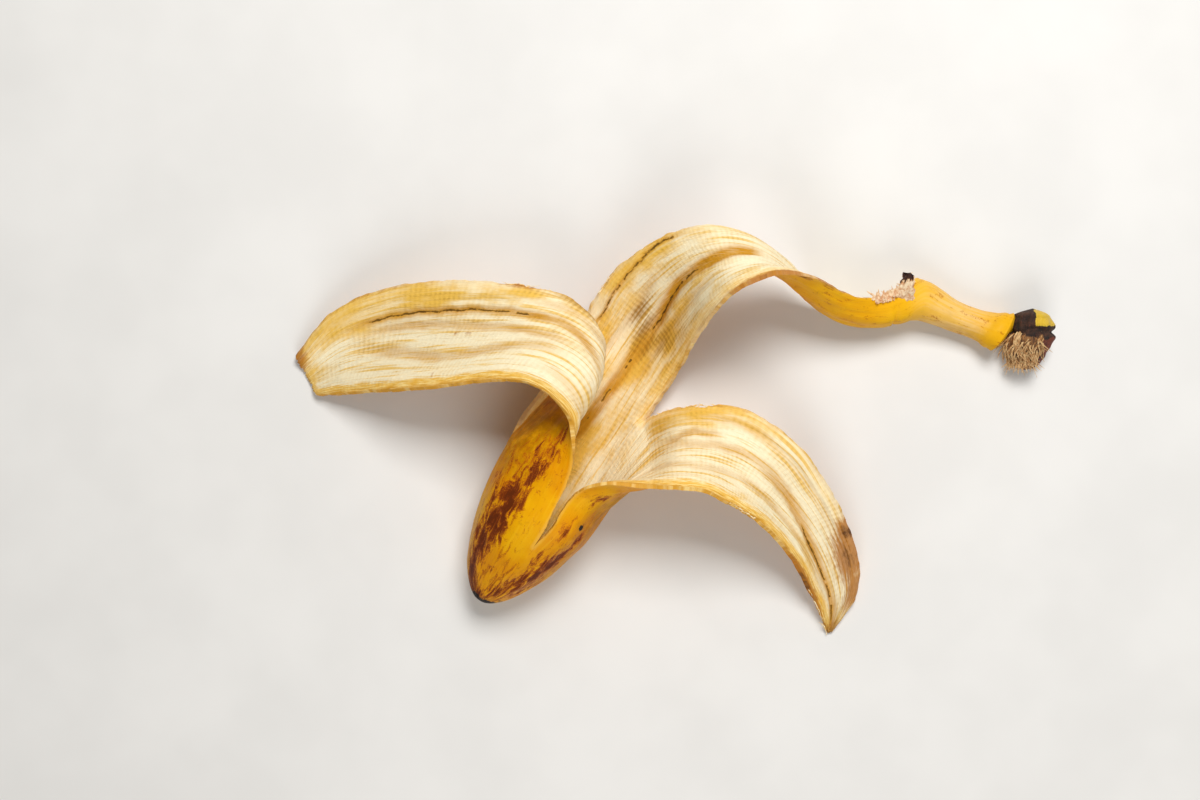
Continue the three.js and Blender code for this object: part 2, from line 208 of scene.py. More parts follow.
LINES = {
    "left": [
        Line(LEFT_CRACK,
             seen=(76, 172), fade=12, width=1.3, depth=0.3, ochre=0.8, led=True),
        Line([(40, -0.1), (91, -0.1), (99, -0.1), (108, -0.137), (119, -0.175),
              (132, -0.195), (146, -0.137), (158, -0.09), (166, -0.03), (184, 0)],
             seen=(84, 170), fade=16, width=1.7, depth=0.5, ochre=0.5, led=True),
        Line([(80, -0.02), (96, 0.03), (103, 0.05), (114, 0.088), (126, 0.1),
              (145, 0.125), (160, 0.115), (184, 0.1)],
             seen=(86, 166), fade=12, width=1.3, depth=0.55, ochre=0.6),
        Line([(60, -0.3), (75, -0.33), (90, -0.3), (110, -0.32), (184, -0.3)],
             seen=(62, 96), fade=10, width=1.4, depth=0.4, ochre=0.3),
        Line([(60, 0.3), (84, 0.33), (96, 0.36), (110, 0.36), (184, 0.36)],
             seen=(76, 112), fade=12, width=1.2, depth=0.35, ochre=0.35),
        Line(LEFT_CRACK,
             seen=(97, 172), fade=12, width=0.9, depth=0.3, ochre=0.7, crack=1.0),
    ],
    "straight": [
        Line([(40, -0.39), (90, -0.388), (97.5, -0.385), (106.5, -0.4), (113, -0.425),
              (120, -0.445), (130, -0.455), (208, -0.455)],
             seen=(84, 136), fade=8, width=0.8, depth=0.6, ochre=0.5, crack=0.85, led=True),
        Line(MAIN_FOLD,
             seen=(52, 160), fade=6, width=1.9, depth=1.3, ochre=1.0, led=True),
        Line(MAIN_FOLD,
             seen=(95, 134), fade=5, width=0.8, depth=0.5, ochre=0.7, crack=0.95),
        Line(MAIN_FOLD,
             seen=(50, 93), fade=4, width=0.8, depth=0.3, ochre=0.5, crack=0.7),
        Line([(60, -0.2), (90, -0.16), (100, -0.13), (112, -0.2), (130, -0.28),
              (208, -0.3)],
             seen=(70, 124), fade=16, width=1.3, depth=0.35, ochre=0.35),
        Line([(60, 0.2), (90, 0.22), (120, 0.2), (150, 0.12), (208, 0.1)],
             seen=(70, 150), fade=20, width=1.5, depth=0.35, ochre=0.3),
    ],
    "right": [
        Line(RIGHT_FOLD,
             seen=(112, 183), fade=12, width=1.7, depth=1.1, ochre=0.8, led=True),
        Line([(60, -0.14), (84, -0.14), (91.5, -0.2), (96.5, -0.2), (107, -0.19),
              (130, -0.2), (181, -0.15)],
             seen=(80, 104), fade=6, width=1.1, depth=0.8, ochre=0.7, crack=0.15, led=True),
        Line([(60, -0.02), (84, -0.09), (94.5, -0.075), (107, -0.087), (120, -0.1),
              (150, 0.0), (181, 0.02)],
             seen=(78, 150), fade=14, width=1.3, depth=0.5, ochre=0.5),
        Line([(40, 0.1), (70, 0.08), (95, 0.2), (111, 0.17), (135, 0.2), (155, 0.28),
              (181, 0.25)],
             seen=(56, 172), fade=16, width=1.2, depth=0.45, ochre=0.4),
        Line([(60, -0.33), (90, -0.36), (130, -0.33), (181, -0.3)],
             seen=(84, 160), fade=20, width=1.4, depth=0.4, ochre=0.3),
        Line(RIGHT_FOLD,
             seen=(136, 183), fade=8, width=0.8, depth=0.3, ochre=0.8, crack=0.95),
    ],
}

JAG = 0.4               # how far a crack strays from its path, in mm
NO_CRACK = 3.0          # how far off the nearest crack is where there is none, in mm

# Patches on the flesh: station, place across, half length, half width (both mm), strength.
FLESH_PATCHES = {
    "tan": {
        "left": [(118, 0.4, 26, 5.5, 0.7), (145, 0.38, 30, 6.5, 0.8), (165, 0.36, 20, 7.5, 0.9),
                 (183, 0.2, 7, 12, 0.7), (75, 0.1, 12, 10, 0.3), (42, 0.2, 18, 20, 0.7)],
        "straight": [(80, -0.3, 26, 9, 0.75), (100, 0.25, 26, 12, 0.75), (112, -0.42, 22, 5, 0.95),
                     (88, 0.05, 16, 10, 0.7), (60, 0.1, 18, 16, 0.75), (38, 0.1, 22, 24, 0.8),
                     (140, 0.35, 26, 5, 0.3)],
        "right": [(178, 0.0, 8, 9, 0.6), (110, 0.35, 30, 5, 0.3), (92, -0.4, 22, 6, 0.85),
                  (150, 0.3, 24, 5, 0.5)],
    },
    "olive": {
        "left": [(96, 0.47, 17, 1.5, 0.55), (76, 0.47, 10, 1.2, 0.35)],
        "straight": [(100.5, -0.1, 7, 2.8, 0.75), (99, 0.03, 9, 2.2, 0.8), (100, 0.24, 8, 4.6, 0.6),
                     (103, 0.08, 6, 2.5, 0.5), (106, 0.36, 12, 4, 0.3), (95, 0.13, 6, 3, 0.45)],
        "right": [(150, -0.44, 9, 4, 0.25)],
    },
    "brown": {
        "left": [(115, 0.49, 6, 1.1, 0.8), (184, 0.4, 3.5, 4.5, 0.8), (184, -0.2, 1.4, 10, 0.25),
                 (129, 0.025, 1, 0.6, 0.6), (124.5, 0.025, 1.6, 0.6, 0.6), (158, 0.5, 24, 0.6, 0.4),
                 (128.5, -0.4, 0.8, 1.8, 0.4)],
        "straight": [(160, 0.495, 22, 0.9, 0.8), (190, 0.495, 16, 0.9, 0.6),
                     (205, 0.42, 8, 2.0, 0.3)],
        "right": [(158, -0.38, 10, 6.0, 0.85), (150, -0.47, 5, 3, 1.0), (168, -0.42, 8, 4, 0.7),
                  (157, 0.495, 13, 1.5, 0.9), (179, 0.1, 4, 5, 0.5), (96, -0.49, 14, 0.8, 0.4)],
    },
}

# Bruises on the skin: station, angle round the fruit, half length, half width (both mm), strength.
BRUISES = [
    (3, 135, 6, 8, 0.8), (10, 138, 7, 3.4, 0.95), (18, 132, 8, 3.8, 1.0), (27, 124, 8, 5.2, 1.05),
    (36, 119, 8, 4.6, 1.0), (45, 110, 8, 3.0, 0.8), (54, 102, 9, 2.2, 0.7), (62, 96, 8, 1.6, 0.6),
    (33, 138, 8, 2.2, 0.6), (50, 118, 9, 1.6, 0.6), (14, 112, 8, 4, 0.35), (40, 135, 12, 6, 0.35),
    (8, 70, 6, 4.5, 0.7), (14, 55, 7, 3.6, 0.8), (20, 44, 7, 2.6, 1.0), (27, 37, 7, 2.2, 1.0),
    (24, 42, 4, 3.4, 1.1),
    (34, 35, 5, 1.8, 0.85), (13, 35, 8, 5, 0.55), (24, 62, 5, 1.4, 0.5),
    (35.5, 57, 3.2, 0.7, 0.9), (43, 30, 1.6, 0.8, 0.8), (51.5, 51, 5, 1.6, 0.75),
    (184.5, 315.5, 6, 0.7, 1.15), (178, 312.5, 5, 0.6, 1.1), (197, 258, 2.2, 0.6, 0.6),
    (202, 262, 1.2, 0.5, 0.5), (120, 330, 18, 3, 0.3), (160, 350, 14, 4, 0.45),
    (140, 120, 16, 4, 0.4),
    (110, 250, 12, 4, 0.45), (70, 220, 12, 4, 0.4), (30, 235, 14, 5, 0.45), (160, 150, 12, 3, 0.35),
]
DARK_SPOTS = [
    (0, 100, 2.6, 12, 1.1), (38.5, 43, 0.9, 0.9, 1.0), (3, 30, 2.2, 3.5, 0.6),
    (22, 43, 2.4, 0.8, 0.5),
]
# Olive skin together with painted shade that darkens it: under the left strip's arch on the cup, on
# the cup's low right side and along the neck's lower side. Station, angle round the fruit, half
# length, half width (both mm), strength.
OLIVE_AND_SHADED_SKIN = [
    (56, 146, 16, 14, 1.0), (46, 118, 9, 8, 0.55), (66, 175, 14, 10, 0.9), (60, 110, 10, 8, 0.8),
    (47, 26, 22, 7, 0.85), (22, 18, 14, 6, 0.6), (192, 194, 24, 12, 0.5), (170, 215, 22, 22, 0.35),
    (236, 233, 22, 15, 0.45), (214, 236, 12, 10, 0.3),
]

# Angles round the fruit where the skin has the low ridges of a banana.
RIDGES = (143, 203, 268, 338, 412)
RIDGE_HEIGHT = 0.5
RIDGE_WIDTH = 4.5

# Stretches of torn edge that are more ragged than the rest: strip, edge, from, to, how much more.
RAGGED = [
    ("right", -0.5, 75, 100, 2.2), ("straight", 0.5, 196, 218, 2.4), ("right", 0.5, 108, 130, 1.6),
    ("left", 0.5, 100, 122, 1.5), ("straight", -0.5, 76, 104, 1.6), ("right", 0.5, 160, 181, 1.5),
]


# ---------------------------------------------------------------- curves and noise

def curve_through(rows, where):
    """The smooth curve through rows of (where, value, ...), at each place asked for."""
    table = np.array(rows, float)
    knots = table[:, 0]
    values = table[:, 1:]
    gaps = np.diff(knots)[:, None]
    rise = np.diff(values, axis=0) / gaps
    slopes = np.vstack([rise[:1], rise[-1:]]) if len(rows) == 2 else np.vstack([
        rise[:1], (rise[:-1] * gaps[1:] + rise[1:] * gaps[:-1]) / (gaps[1:] + gaps[:-1]), rise[-1:],
    ])
    place = np.clip(where, knots[0], knots[-1])
    i = np.clip(np.searchsorted(knots, place, side="right") - 1, 0, len(rows) - 2)
    span = gaps[i]
    t = (place - knots[i])[:, None] / span
    from_start = 2 * t**3 - 3 * t**2 + 1
    leaving = (t**3 - 2 * t**2 + t) * span
    arriving = (t**3 - t**2) * span
    return (from_start * values[i] + (1 - from_start) * values[i + 1]
            + leaving * slopes[i] + arriving * slopes[i + 1])


def smoothstep(value, low, high):
    """0 below low, 1 above high, and a soft rise between them."""
    t = np.clip((value - low) / (high - low), 0, 1)
    return t * t * (3 - 2 * t)


def unit(vectors):
    return vectors / np.maximum(np.linalg.norm(vectors, axis=-1, keepdims=True), 1e-9)


def noise_at(*coordinates):
    """Smooth noise from about -1 to 1 at each point of up to three coordinates."""
    filled = [*coordinates, *[0.5] * (3 - len(coordinates))]
    points = np.stack(np.broadcast_arrays(*filled), axis=-1).reshape(-1, 3)
    return np.array([noise.noise(point) for point in points.tolist()])


def bell(distance, width):
    return np.exp(-(distance / width) ** 2)


# ---------------------------------------------------------------- the loft

def cup_radius(station):
    left = np.clip(1 - station / TAPER_LENGTH, 0, 1)
    return FRUIT_RADIUS * (1 - left**2) ** TAPER_FULLNESS


def outwards(angle):
    turn = math.radians(angle)
    return math.cos(turn) * RIGHT_OF_CUP + math.sin(turn) * UP


def on_cup(station, angle):
    radius = cup_radius(station)
    height = radius + TIP_LIFT * np.clip(1 - station / LIFT_LENGTH, 0, 1) ** LIFT_POWER
    middle = CUP_TIP + station[:, None] * ALONG_CUP + height[:, None] * UP
    return middle + radius[:, None] * outwards(angle)


def torn_edge(tear, angle, rows, station):
    """An edge follows the cup as far as its tear, then its own rows."""
    start = TEARS[tear][1]
    on_fruit = [(at, *on_cup(np.array([float(at)]), angle)[0]) for at in (start - 6, start)]
    free = curve_through(on_fruit + [row for row in rows if row[0] > start], station)
    return np.where((station <= start)[:, None], on_cup(station, angle), free)


def tear_angles(strip):
    """The angles of a strip's two tears, the second one the larger."""
    first, second = (TEARS[tear][0] for tear in STRIPS[strip]["tears"])
    return first, second if second > first else second + 360


def strip_frame(strip, station):
    """A strip's two edges, chord, facing and bend at each station."""
    data = STRIPS[strip]
    first_angle, second_angle = tear_angles(strip)
    first_tear, second_tear = data["tears"]
    rails = ((first_tear, first_angle, data["first"]), (second_tear, second_angle, data["second"]))
    a, b = (torn_edge(*rail, station) for rail in rails)
    ahead = sum(torn_edge(*rail, station + 0.5) for rail in rails)
    behind = sum(torn_edge(*rail, np.maximum(station - 0.5, 0)) for rail in rails)
    sideways = unit(b - a)
    facing = unit(np.cross(unit(ahead - behind), sideways))
    free = smoothstep(station, TEARS["top"][1], TEARS["top"][1] + NORMAL_BLEND)[:, None]
    facing = unit(facing * free + outwards((first_angle + second_angle) / 2) * (1 - free))
    reach = second_angle - first_angle
    curl = curve_through([(0, reach), (TEARS["top"][1], reach), *data["curl"]], station)[:, 0]
    bend = np.where(np.abs(np.radians(curl)) < 0.02, 0.02, np.radians(curl))
    width = np.linalg.norm(b - a, axis=1)
    return a, b, sideways, facing, bend, width / (2 * np.sin(bend / 2))


def on_strip(strip, station, across):
    """Points of the skin, in layout millimetres."""
    a, b, sideways, facing, bend, radius = strip_frame(strip, station)
    shift = (radius * np.sin(bend * across))[:, None]
    rise = (radius * (np.cos(bend * across) - np.cos(bend / 2)))[:, None]
    points = (a + b) / 2 + shift * sideways + rise * facing
    if strip == "straight":
        rolled = smoothstep(station, *NECK_BLEND)[:, None]
        points = points * (1 - rolled) + on_neck(station, across) * rolled
    return points


def strip_breadth(strip, station):
    """How far it is over the skin from edge to edge."""
    *_, bend, radius = strip_frame(strip, station)
    breadth = np.abs(bend * radius)
    if strip == "straight":
        _, _, _, neck_radius, start, stop = curve_through(NECK, station).T
        rolled = smoothstep(station, *NECK_BLEND)
        breadth = breadth * (1 - rolled) + neck_radius * np.radians(stop - start) * rolled
    return np.maximum(breadth, 1e-3)


def neck_middle(station):
    return curve_through(NECK, station)[:, :3]


def on_neck(station, across):
    _, _, _, radius, start, stop = curve_through(NECK, station).T
    forwards = unit(neck_middle(station + 0.5) - neck_middle(station - 0.5))
    side = unit(np.cross(forwards, UP))
    top = np.cross(side, forwards)
    turn = np.radians(start + (stop - start) * (across + 0.5))
    short = STEM_SHORT + STEM_SHORTER * (0.5 + 0.5 * np.cos(turn))
    short *= smoothstep(station, *STEM_SLANT)
    ring = radius[:, None] * (np.cos(turn)[:, None] * side + np.sin(turn)[:, None] * top)
    return neck_middle(station) + ring - short[:, None] * forwards


def to_metres(points):
    return (points - LAYOUT_MIDDLE) * MM


def on_table(points, lowest=0):
    """The points, with none below the table."""
    points[:, 2] = np.maximum(points[:, 2], lowest)
    return points


# ---------------------------------------------------------------- where marks fall

def from_torn_edge(strip, station, across, breadth):
    """How far each point is from the nearest torn edge, its tear's root or its torn end, in mm."""
    nearest = np.full(station.shape, 99.0)
    for side, tear in zip((-0.5, 0.5), STRIPS[strip]["tears"]):
        past = np.maximum(TEARS[tear][1] - station, 0)
        if strip == "straight":
            past = np.where(station >= NECK_CLOSED_AT, station - NECK_CLOSED_AT, past)
        nearest = np.minimum(nearest, np.hypot(np.abs(across - side) * breadth, past))
    if strip != "straight":
        nearest = np.minimum(nearest, STRIPS[strip]["end"] - station)
    return nearest


def patches(rows, station, sideways_of):
    """The strongest of some soft patches at each point. sideways_of gives mm beside a patch."""
    total = np.zeros(station.shape)
    for at, place, length, width, strength in rows:
        away = ((station - at) / length) ** 2 + (sideways_of(place) / width) ** 2
        total = np.maximum(total, strength * np.exp(-away))
    return total


def line_middle(strip, line, station):
    """The place across of a fold or crack, with the small jags it has."""
    seed = 50 * line.path[0][1]
    jags = noise_at(station / 3.1, seed) + 0.6 * noise_at(station / 1.4, seed + 5)
    breadth = strip_breadth(strip, station)
    jags *= JAG * smoothstep(breadth, 12, 24) / breadth
    return curve_through(line.path, station)[:, 0] + jags


def line_marks(strip, station, across, breadth):
    """How deep the folds are, how ochre they look, and how far off the nearest crack is, in mm."""
    relief = np.zeros(station.shape)
    ochre = np.zeros(station.shape)
    crack = np.full(station.shape, NO_CRACK)
    for number, line in enumerate(LINES[strip]):
        away = (across - line_middle(strip, line, station)) * breadth
        start, stop = line.seen
        strength = smoothstep(station, start, start + line.fade)
        strength *= 1 - smoothstep(station, stop - line.fade, stop)
        gaps = 1.8 - 2.8 * line.crack
        open_here = noise_at(station / 6, number * 5.3, 2.0)
        open_here += 0.7 * noise_at(station / 2.2, number * 5.3, 9.0)
        open_here = smoothstep(1.5 * open_here, gaps - 0.15, gaps + 0.15)
        crack = np.minimum(crack, np.abs(away) + NO_CRACK * (1 - strength * open_here))
        strength *= 0.85 + 0.3 * noise_at(station / 9, number * 3.7)
        relief -= line.depth * strength * bell(away, line.width)
        relief += 0.35 * line.depth * strength * bell(away - 2.1 * line.width, line.width * 1.1)
        band = np.minimum(1.6 * bell(away, line.width), 1)
        ochre = np.maximum(ochre, line.ochre * strength * band)
    return relief, ochre, crack


def led_columns(strip, station, share):
    """The place across for each column, so that columns run along the led lines."""
    led = [line for line in LINES[strip] if line.led]
    anchors = sorted((line_middle(strip, line, station) for line in led), key=lambda path: path[-1])
    homes = sorted(round((line.path[0][1] + 0.5) * COLUMNS) / COLUMNS for line in led)
    knots = [0.0, *homes, 1.0]
    places = [np.full(station.shape, -0.5), *anchors, np.full(station.shape, 0.5)]
    across = np.zeros(station.shape)
    for low, high, left, right in zip(knots, knots[1:], places, places[1:]):
        inside = (share >= low - 1e-6) & (share <= high + 1e-6)
        t = (share - low) / (high - low)
        across = np.where(inside, left * (1 - t) + right * t, across)
    return across


# ---------------------------------------------------------------- mesh helpers

COLUMNS = 48      # of faces across a strip
STEP = 0.75      # from one row of faces to the next, in mm
TIP_STEPS = 14          # rows between the tip and where the even spacing starts
TIP_END = 8
TIP_POWER = 1.6
SHARED_END = 75         # all three strips have the same stations up to here
MERGE = 2e-6            # points closer than this are one, in metres
FLESH_CLEARANCE = 0.15 * MM     # how far the flesh stays above the table
UV_MM = 100             # one unit of the UV map, in mm
UV_BREADTH = 38         # how broad a strip is in the UV map, in mm
UV_APART = 40
SLIVER = 1e-7           # faces narrower than this are dissolved, in metres


def select_none():
    bpy.ops.object.select_all(action="DESELECT")


def select_only(*objects):
    """Selects the objects and makes the first one active."""
    select_none()
    for obj in objects:
        obj.select_set(True)
    bpy.context.view_layer.objects.active = objects[0]


@contextmanager
def editing():
    """Edit mode for the mesh operators inside."""
    bpy.ops.object.mode_set(mode="EDIT")
    yield
    bpy.ops.object.mode_set(mode="OBJECT")


def named(name):
    """The object that an operator has just made, with its mesh, under a name."""
    obj = bpy.context.object
    obj.name = name
    obj.data.name = name
    return obj


def read_vectors(collection, name):
    values = np.zeros(len(collection) * 3)
    collection.foreach_get(name, values)
    return values.reshape(-1, 3)


def get_points(mesh):
    return read_vectors(mesh.vertices, "co")


def set_points(mesh, points):
    mesh.vertices.foreach_set("co", np.asarray(points, float).ravel())
    mesh.update()


def write_attribute(mesh, name, values):
    attribute = mesh.attributes.get(name) or mesh.attributes.new(name, "FLOAT", "POINT")
    attribute.data.foreach_set("value", np.asarray(values, np.float32))


def read_attribute(mesh, name):
    values = np.zeros(len(mesh.vertices), np.float32)
    mesh.attributes[name].data.foreach_get("value", values)
    return values.astype(float)


def write_uv(mesh, values):
    """Gives each corner its vertex's pair of values as the UV map."""
    corners = np.zeros(len(mesh.loops), int)
    mesh.loops.foreach_get("vertex_index", corners)
    layer = mesh.uv_layers[0] if mesh.uv_layers else mesh.uv_layers.new(name="UVMap")
    layer.data.foreach_set("uv", values[corners].astype(np.float32).ravel())


def finish_piece(obj, *materials, smooth_angle=50):
    """The piece's materials, shading and place in the frame."""
    for material in materials:
        obj.data.materials.append(material)
    select_only(obj)
    bpy.ops.object.shade_smooth_by_angle(angle=math.radians(smooth_angle))
    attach(obj, BODY)
    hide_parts(CAD_NODE)


# ---------------------------------------------------------------- materials

def from_hex(code):
    """A linear colour from a six-letter sRGB code."""
    parts = (int(code[i:i + 2], 16) / 255 for i in (0, 2, 4))
    return tuple(
        part / 12.92 if part <= 0.04045 else ((part + 0.055) / 1.055) ** 2.4 for part in parts)


class Shader:
    """A material being put together node by node."""

    def __init__(self, name):
        self.material = bpy.data.materials.new(name)
        self.material.use_nodes = True
        self.tree = self.material.node_tree
        self.surface = self.tree.nodes["Principled BSDF"]

    def put(self, socket, value):
        if isinstance(value, bpy.types.NodeSocket):
            self.tree.links.new(value, socket)
        elif socket.type == "RGBA" and len(value) == 3:
            socket.default_value = (*value, 1)
        else:
            socket.default_value = value

    def node(self, kind, inputs, output=0, **settings):
        made = self.tree.nodes.new("ShaderNode" + kind)
        for name, value in settings.items():
            setattr(made, name, value)
        for socket, value in inputs.items():
            self.put(made.inputs[socket], value)
        return made.outputs[output]

    def attribute(self, name):
        return self.node("Attribute", {}, output="Fac", attribute_name=name)

    def maths(self, operation, a, b=0.0, clamp=False):
        return self.node("Math", {0: a, 1: b}, operation=operation, use_clamp=clamp)

    def plus(self, a, b):
        return self.maths("ADD", a, b)

    def times(self, a, b, clamp=False):
        return self.maths("MULTIPLY", a, b, clamp)

    def wavering(self, value, pattern, low, high):
        """value with a noise added to it, as low to high, so that its outline wanders."""
        return self.plus(value, self.between(pattern, 0.3, 0.7, low, high))

    def between(self, value, low, high, to_low=0.0, to_high=1.0):
        """value from low to high, as to_low to to_high, with soft ends."""
        inputs = {
            "Value": value, "From Min": low, "From Max": high, "To Min": to_low, "To Max": to_high}
        return self.node("MapRange", inputs, interpolation_type="SMOOTHSTEP")

    def blend(self, share, a, b):
        return self.node("Mix", {0: share, 6: a, 7: b}, output=2, data_type="RGBA")

    def over(self, base, colour, value, *limits):
        """base with a colour laid over it, as far as value says between its limits."""
        return self.blend(self.between(value, *limits), base, colour)

    def mapped(self, vector, scale):
        return self.node("Mapping", {"Vector": vector, "Scale": scale})

    def noise(self, vector, scale, detail=3.0, roughness=0.55, distortion=0.0):
        inputs = {"Vector": vector, "Scale": scale, "Detail": detail, "Roughness": roughness,
                  "Distortion": distortion}
        return self.node("TexNoise", inputs)

    def stretched(self, vector, scales, **settings):
        """Noise with its own scale along each axis."""
        return self.noise(self.mapped(vector, scales), 1.0, **settings)

    def finish(self, colour, roughness, relief, depth, specular=0.5):
        """The material, with a relief whose height of 1 stands depth mm high."""
        normal = self.node("Bump", {"Height": relief, "Distance": depth * MM, "Strength": 1.0})
        sockets = {"Base Color": colour, "Roughness": roughness, "Normal": normal,
                   "Specular IOR Level": specular}
        for name, value in sockets.items():
            self.put(self.surface.inputs[name], value)
        return self.material


def strip_place(shader):
    """The UV map as millimetres across and along the strip."""
    uv = shader.node("TexCoord", {}, output="UV")
    return shader.mapped(uv, (UV_MM, UV_MM, UV_MM))


def object_place(shader):
    """Object coordinates in millimetres."""
    return shader.mapped(shader.node("TexCoord", {}, output="Object"), (1 / MM, 1 / MM, 1 / MM))


def skin_material(colours):
    """Waxy yellow skin with paler lengthwise streaks, freckles, brown bruises and black scars, and
    painted shade that darkens it to olive under the arch and on the lower sides of the cup and
    neck.
    """
    shader = Shader("banana_skin")
    place = object_place(shader)
    strip = strip_place(shader)
    clouds = shader.noise(place, 0.06, detail=4)
    drift = shader.noise(place, 0.35, detail=5, roughness=0.6)
    lengthwise = shader.stretched(strip, (0.9, 0.06, 1), detail=4)
    grain = shader.noise(place, 2.6, detail=3)

    colour = shader.blend(shader.between(clouds, 0.35, 0.65), colours.skin, colours.skin_orange)
    colour = shader.over(colour, colours.skin_light, lengthwise, 0.45, 0.75, 0, 0.35)
    colour = shader.over(colour, colours.bruise, drift, 0.56, 0.72, 0, 0.2)
    station = shader.attribute("station")
    colour = shader.over(colour, colours.skin_light, station, 170, 222, 0, 0.6)
    pale_stem = shader.between(station, 210, 230, 0, 0.42)
    pale_stem = shader.times(pale_stem, shader.between(station, 232, 252, 1, 0))
    pale_stem = shader.times(pale_stem, shader.between(lengthwise, 0.4, 0.6, 0.45, 1))
    colour = shader.blend(pale_stem, colour, colours.pith)

    # painted shade: the olive skin mask darkens the skin under the arch and on the lower sides of
    # the cup and neck, and partly gives it an olive tone of its own
    olive = shader.times(shader.attribute("olive_skin_and_shade"), shader.between(drift, 0.3, 0.6, 0.55, 1.1))
    colour = shader.blend(shader.times(olive, 0.75, clamp=True), colour, colours.skin_olive_and_shade)

    freckle = shader.node("TexVoronoi", {"Vector": place, "Scale": 0.28, "Randomness": 1.0})
    freckles = shader.between(freckle, 0.02, 0.14, 0.6, 0.0)
    freckles = shader.times(freckles, shader.between(clouds, 0.48, 0.6))
    colour = shader.blend(freckles, colour, colours.bruise)

    streaks = shader.stretched(strip, (0.5, 0.2, 1), detail=5, roughness=0.62, distortion=0.9)
    worn = shader.wavering(shader.attribute("bruise"), streaks, -0.5, 0.29)
    worn = shader.wavering(worn, grain, -0.12, 0.12)
    veins = shader.maths("ABSOLUTE", shader.maths("SUBTRACT", streaks, 0.5))
    near_bruise = shader.between(shader.attribute("bruise"), 0.05, 0.5)
    veins = shader.times(shader.between(veins, 0.0, 0.02, 0.45, 0.0), near_bruise)
    colour = shader.blend(veins, colour, colours.bruise_edge)
    colour = shader.over(colour, colours.bruise_edge, worn, 0.1, 0.4, 0, 0.8)
    colour = shader.over(colour, colours.bruise, worn, 0.36, 0.66)
    colour = shader.over(colour, colours.bruise_dark, worn, 0.62, 1.0, 0, 0.55)
    dark = shader.wavering(shader.attribute("scar"), drift, -0.22, 0.22)
    colour = shader.over(colour, colours.black, dark, 0.35, 0.6)

    rim = shader.between(shader.attribute("edge_mm"), 0.2, 1.4, 0.6, 0.0)
    colour = shader.blend(rim, colour, colours.edge_gold)
    torn = shader.wavering(shader.attribute("neck_pith"), drift, -0.3, 0.2)
    colour = shader.over(colour, colours.pith, torn, 0.35, 0.6)

    relief = shader.plus(shader.times(lengthwise, 0.7), shader.times(grain, 0.25))
    relief = shader.maths("SUBTRACT", relief, shader.times(shader.between(worn, 0.4, 0.9), 0.5))
    rough = shader.between(worn, 0.3, 0.8, 0.4, 0.6)
    return shader.finish(colour, rough, relief, 0.25, specular=0.08)


def flesh_material(colours):
    """Cream inside of the peel: fibres, fine ladder ripples, ochre folds, cracks and browning."""
    shader = Shader("banana_flesh")
    strip = strip_place(shader)
    place = object_place(shader)
    fibres = shader.stretched(strip, (0.75, 0.035, 1), detail=4, roughness=0.6, distortion=0.15)
    fine = shader.stretched(strip, (2.6, 0.16, 1), detail=3, roughness=0.6)
    patches_of_tan = shader.stretched(strip, (0.13, 0.06, 1), detail=4)
    waves = {"Vector": strip, "Scale": 0.19, "Distortion": 6.0, "Detail": 4.0, "Detail Scale": 0.3}
    ladder = shader.node(
        "TexWave", waves, output="Fac", wave_type="BANDS", bands_direction="Y", wave_profile="SIN")
    speckle = shader.stretched(strip, (0.8, 0.45, 1), detail=4, roughness=0.6)

    tan = shader.wavering(shader.attribute("tan"), patches_of_tan, -0.42, 0.28)
    colour = shader.blend(shader.between(tan, 0.05, 0.85), colours.flesh, colours.flesh_tan)
    colour = shader.over(colour, colours.flesh_tan, fibres, 0.5, 0.64, 0, 0.85)
    colour = shader.over(colour, colours.flesh_light, fibres, 0.3, 0.45, 0.4, 0)
    rippled = shader.between(patches_of_tan, 0.35, 0.6, 0.3, 1.0)
    ladder = shader.times(ladder, rippled)
    ripple = shader.times(ladder, shader.between(tan, -0.1, 0.6, 0.1, 0.2))
    colour = shader.blend(ripple, colour, colours.flesh_shade)
    colour = shader.over(colour, colours.flesh_shade, speckle, 0.56, 0.75, 0, 0.3)

    ochre = shader.times(shader.attribute("ochre"), shader.between(fine, 0.2, 0.6, 0.7, 1.15))
    colour = shader.blend(shader.times(ochre, 1.0, clamp=True), colour, colours.ochre)
    olive = shader.wavering(shader.attribute("olive"), fibres, -0.3, 0.22)
    olive = shader.plus(olive, shader.between(ladder, 0, 1, -0.12, 0.12))
    colour = shader.over(colour, colours.flesh_olive, olive, 0.0, 0.85, 0, 0.85)

    edge = shader.wavering(shader.attribute("edge_mm"), fine, -0.5, 0.5)
    gold = shader.between(edge, 1.8, 3.2, 1.0, 0.0)
    gold = shader.times(gold, shader.attribute("gold_edge"))
    rim = shader.blend(shader.between(fine, 0.4, 0.65), colours.edge_gold, colours.edge_light)
    rim = shader.over(rim, colours.edge_dark, edge, 0.1, 1.3, 0.75, 0)
    colour = shader.blend(gold, colour, rim)

    brown = shader.wavering(shader.attribute("brown"), speckle, -0.16, 0.1)
    brown = shader.wavering(brown, fibres, -0.07, 0.07)
    colour = shader.over(colour, colours.flesh_brown, brown, 0.08, 0.6, 0, 0.85)
    colour = shader.over(colour, colours.bruise_dark, brown, 0.64, 1.1)

    jagged = shader.stretched(strip, (0.9, 0.5, 1), detail=4, roughness=0.7)
    jagged = shader.between(jagged, 0.35, 0.65, 0.0, 0.4)
    crack = shader.maths("SUBTRACT", shader.attribute("crack_mm"), jagged)
    colour = shader.over(colour, colours.ochre, crack, 0.05, 0.7, 0.7, 0)
    colour = shader.over(colour, colours.crack, crack, -0.1, 0.2, 0.95, 0)

    relief = shader.plus(shader.times(fibres, 0.9), shader.times(fine, 0.5))
    relief = shader.plus(relief, shader.times(ladder, 0.08))
    relief = shader.plus(relief, shader.times(speckle, 0.35))
    return shader.finish(colour, 0.62, relief, 0.5, specular=0.2)


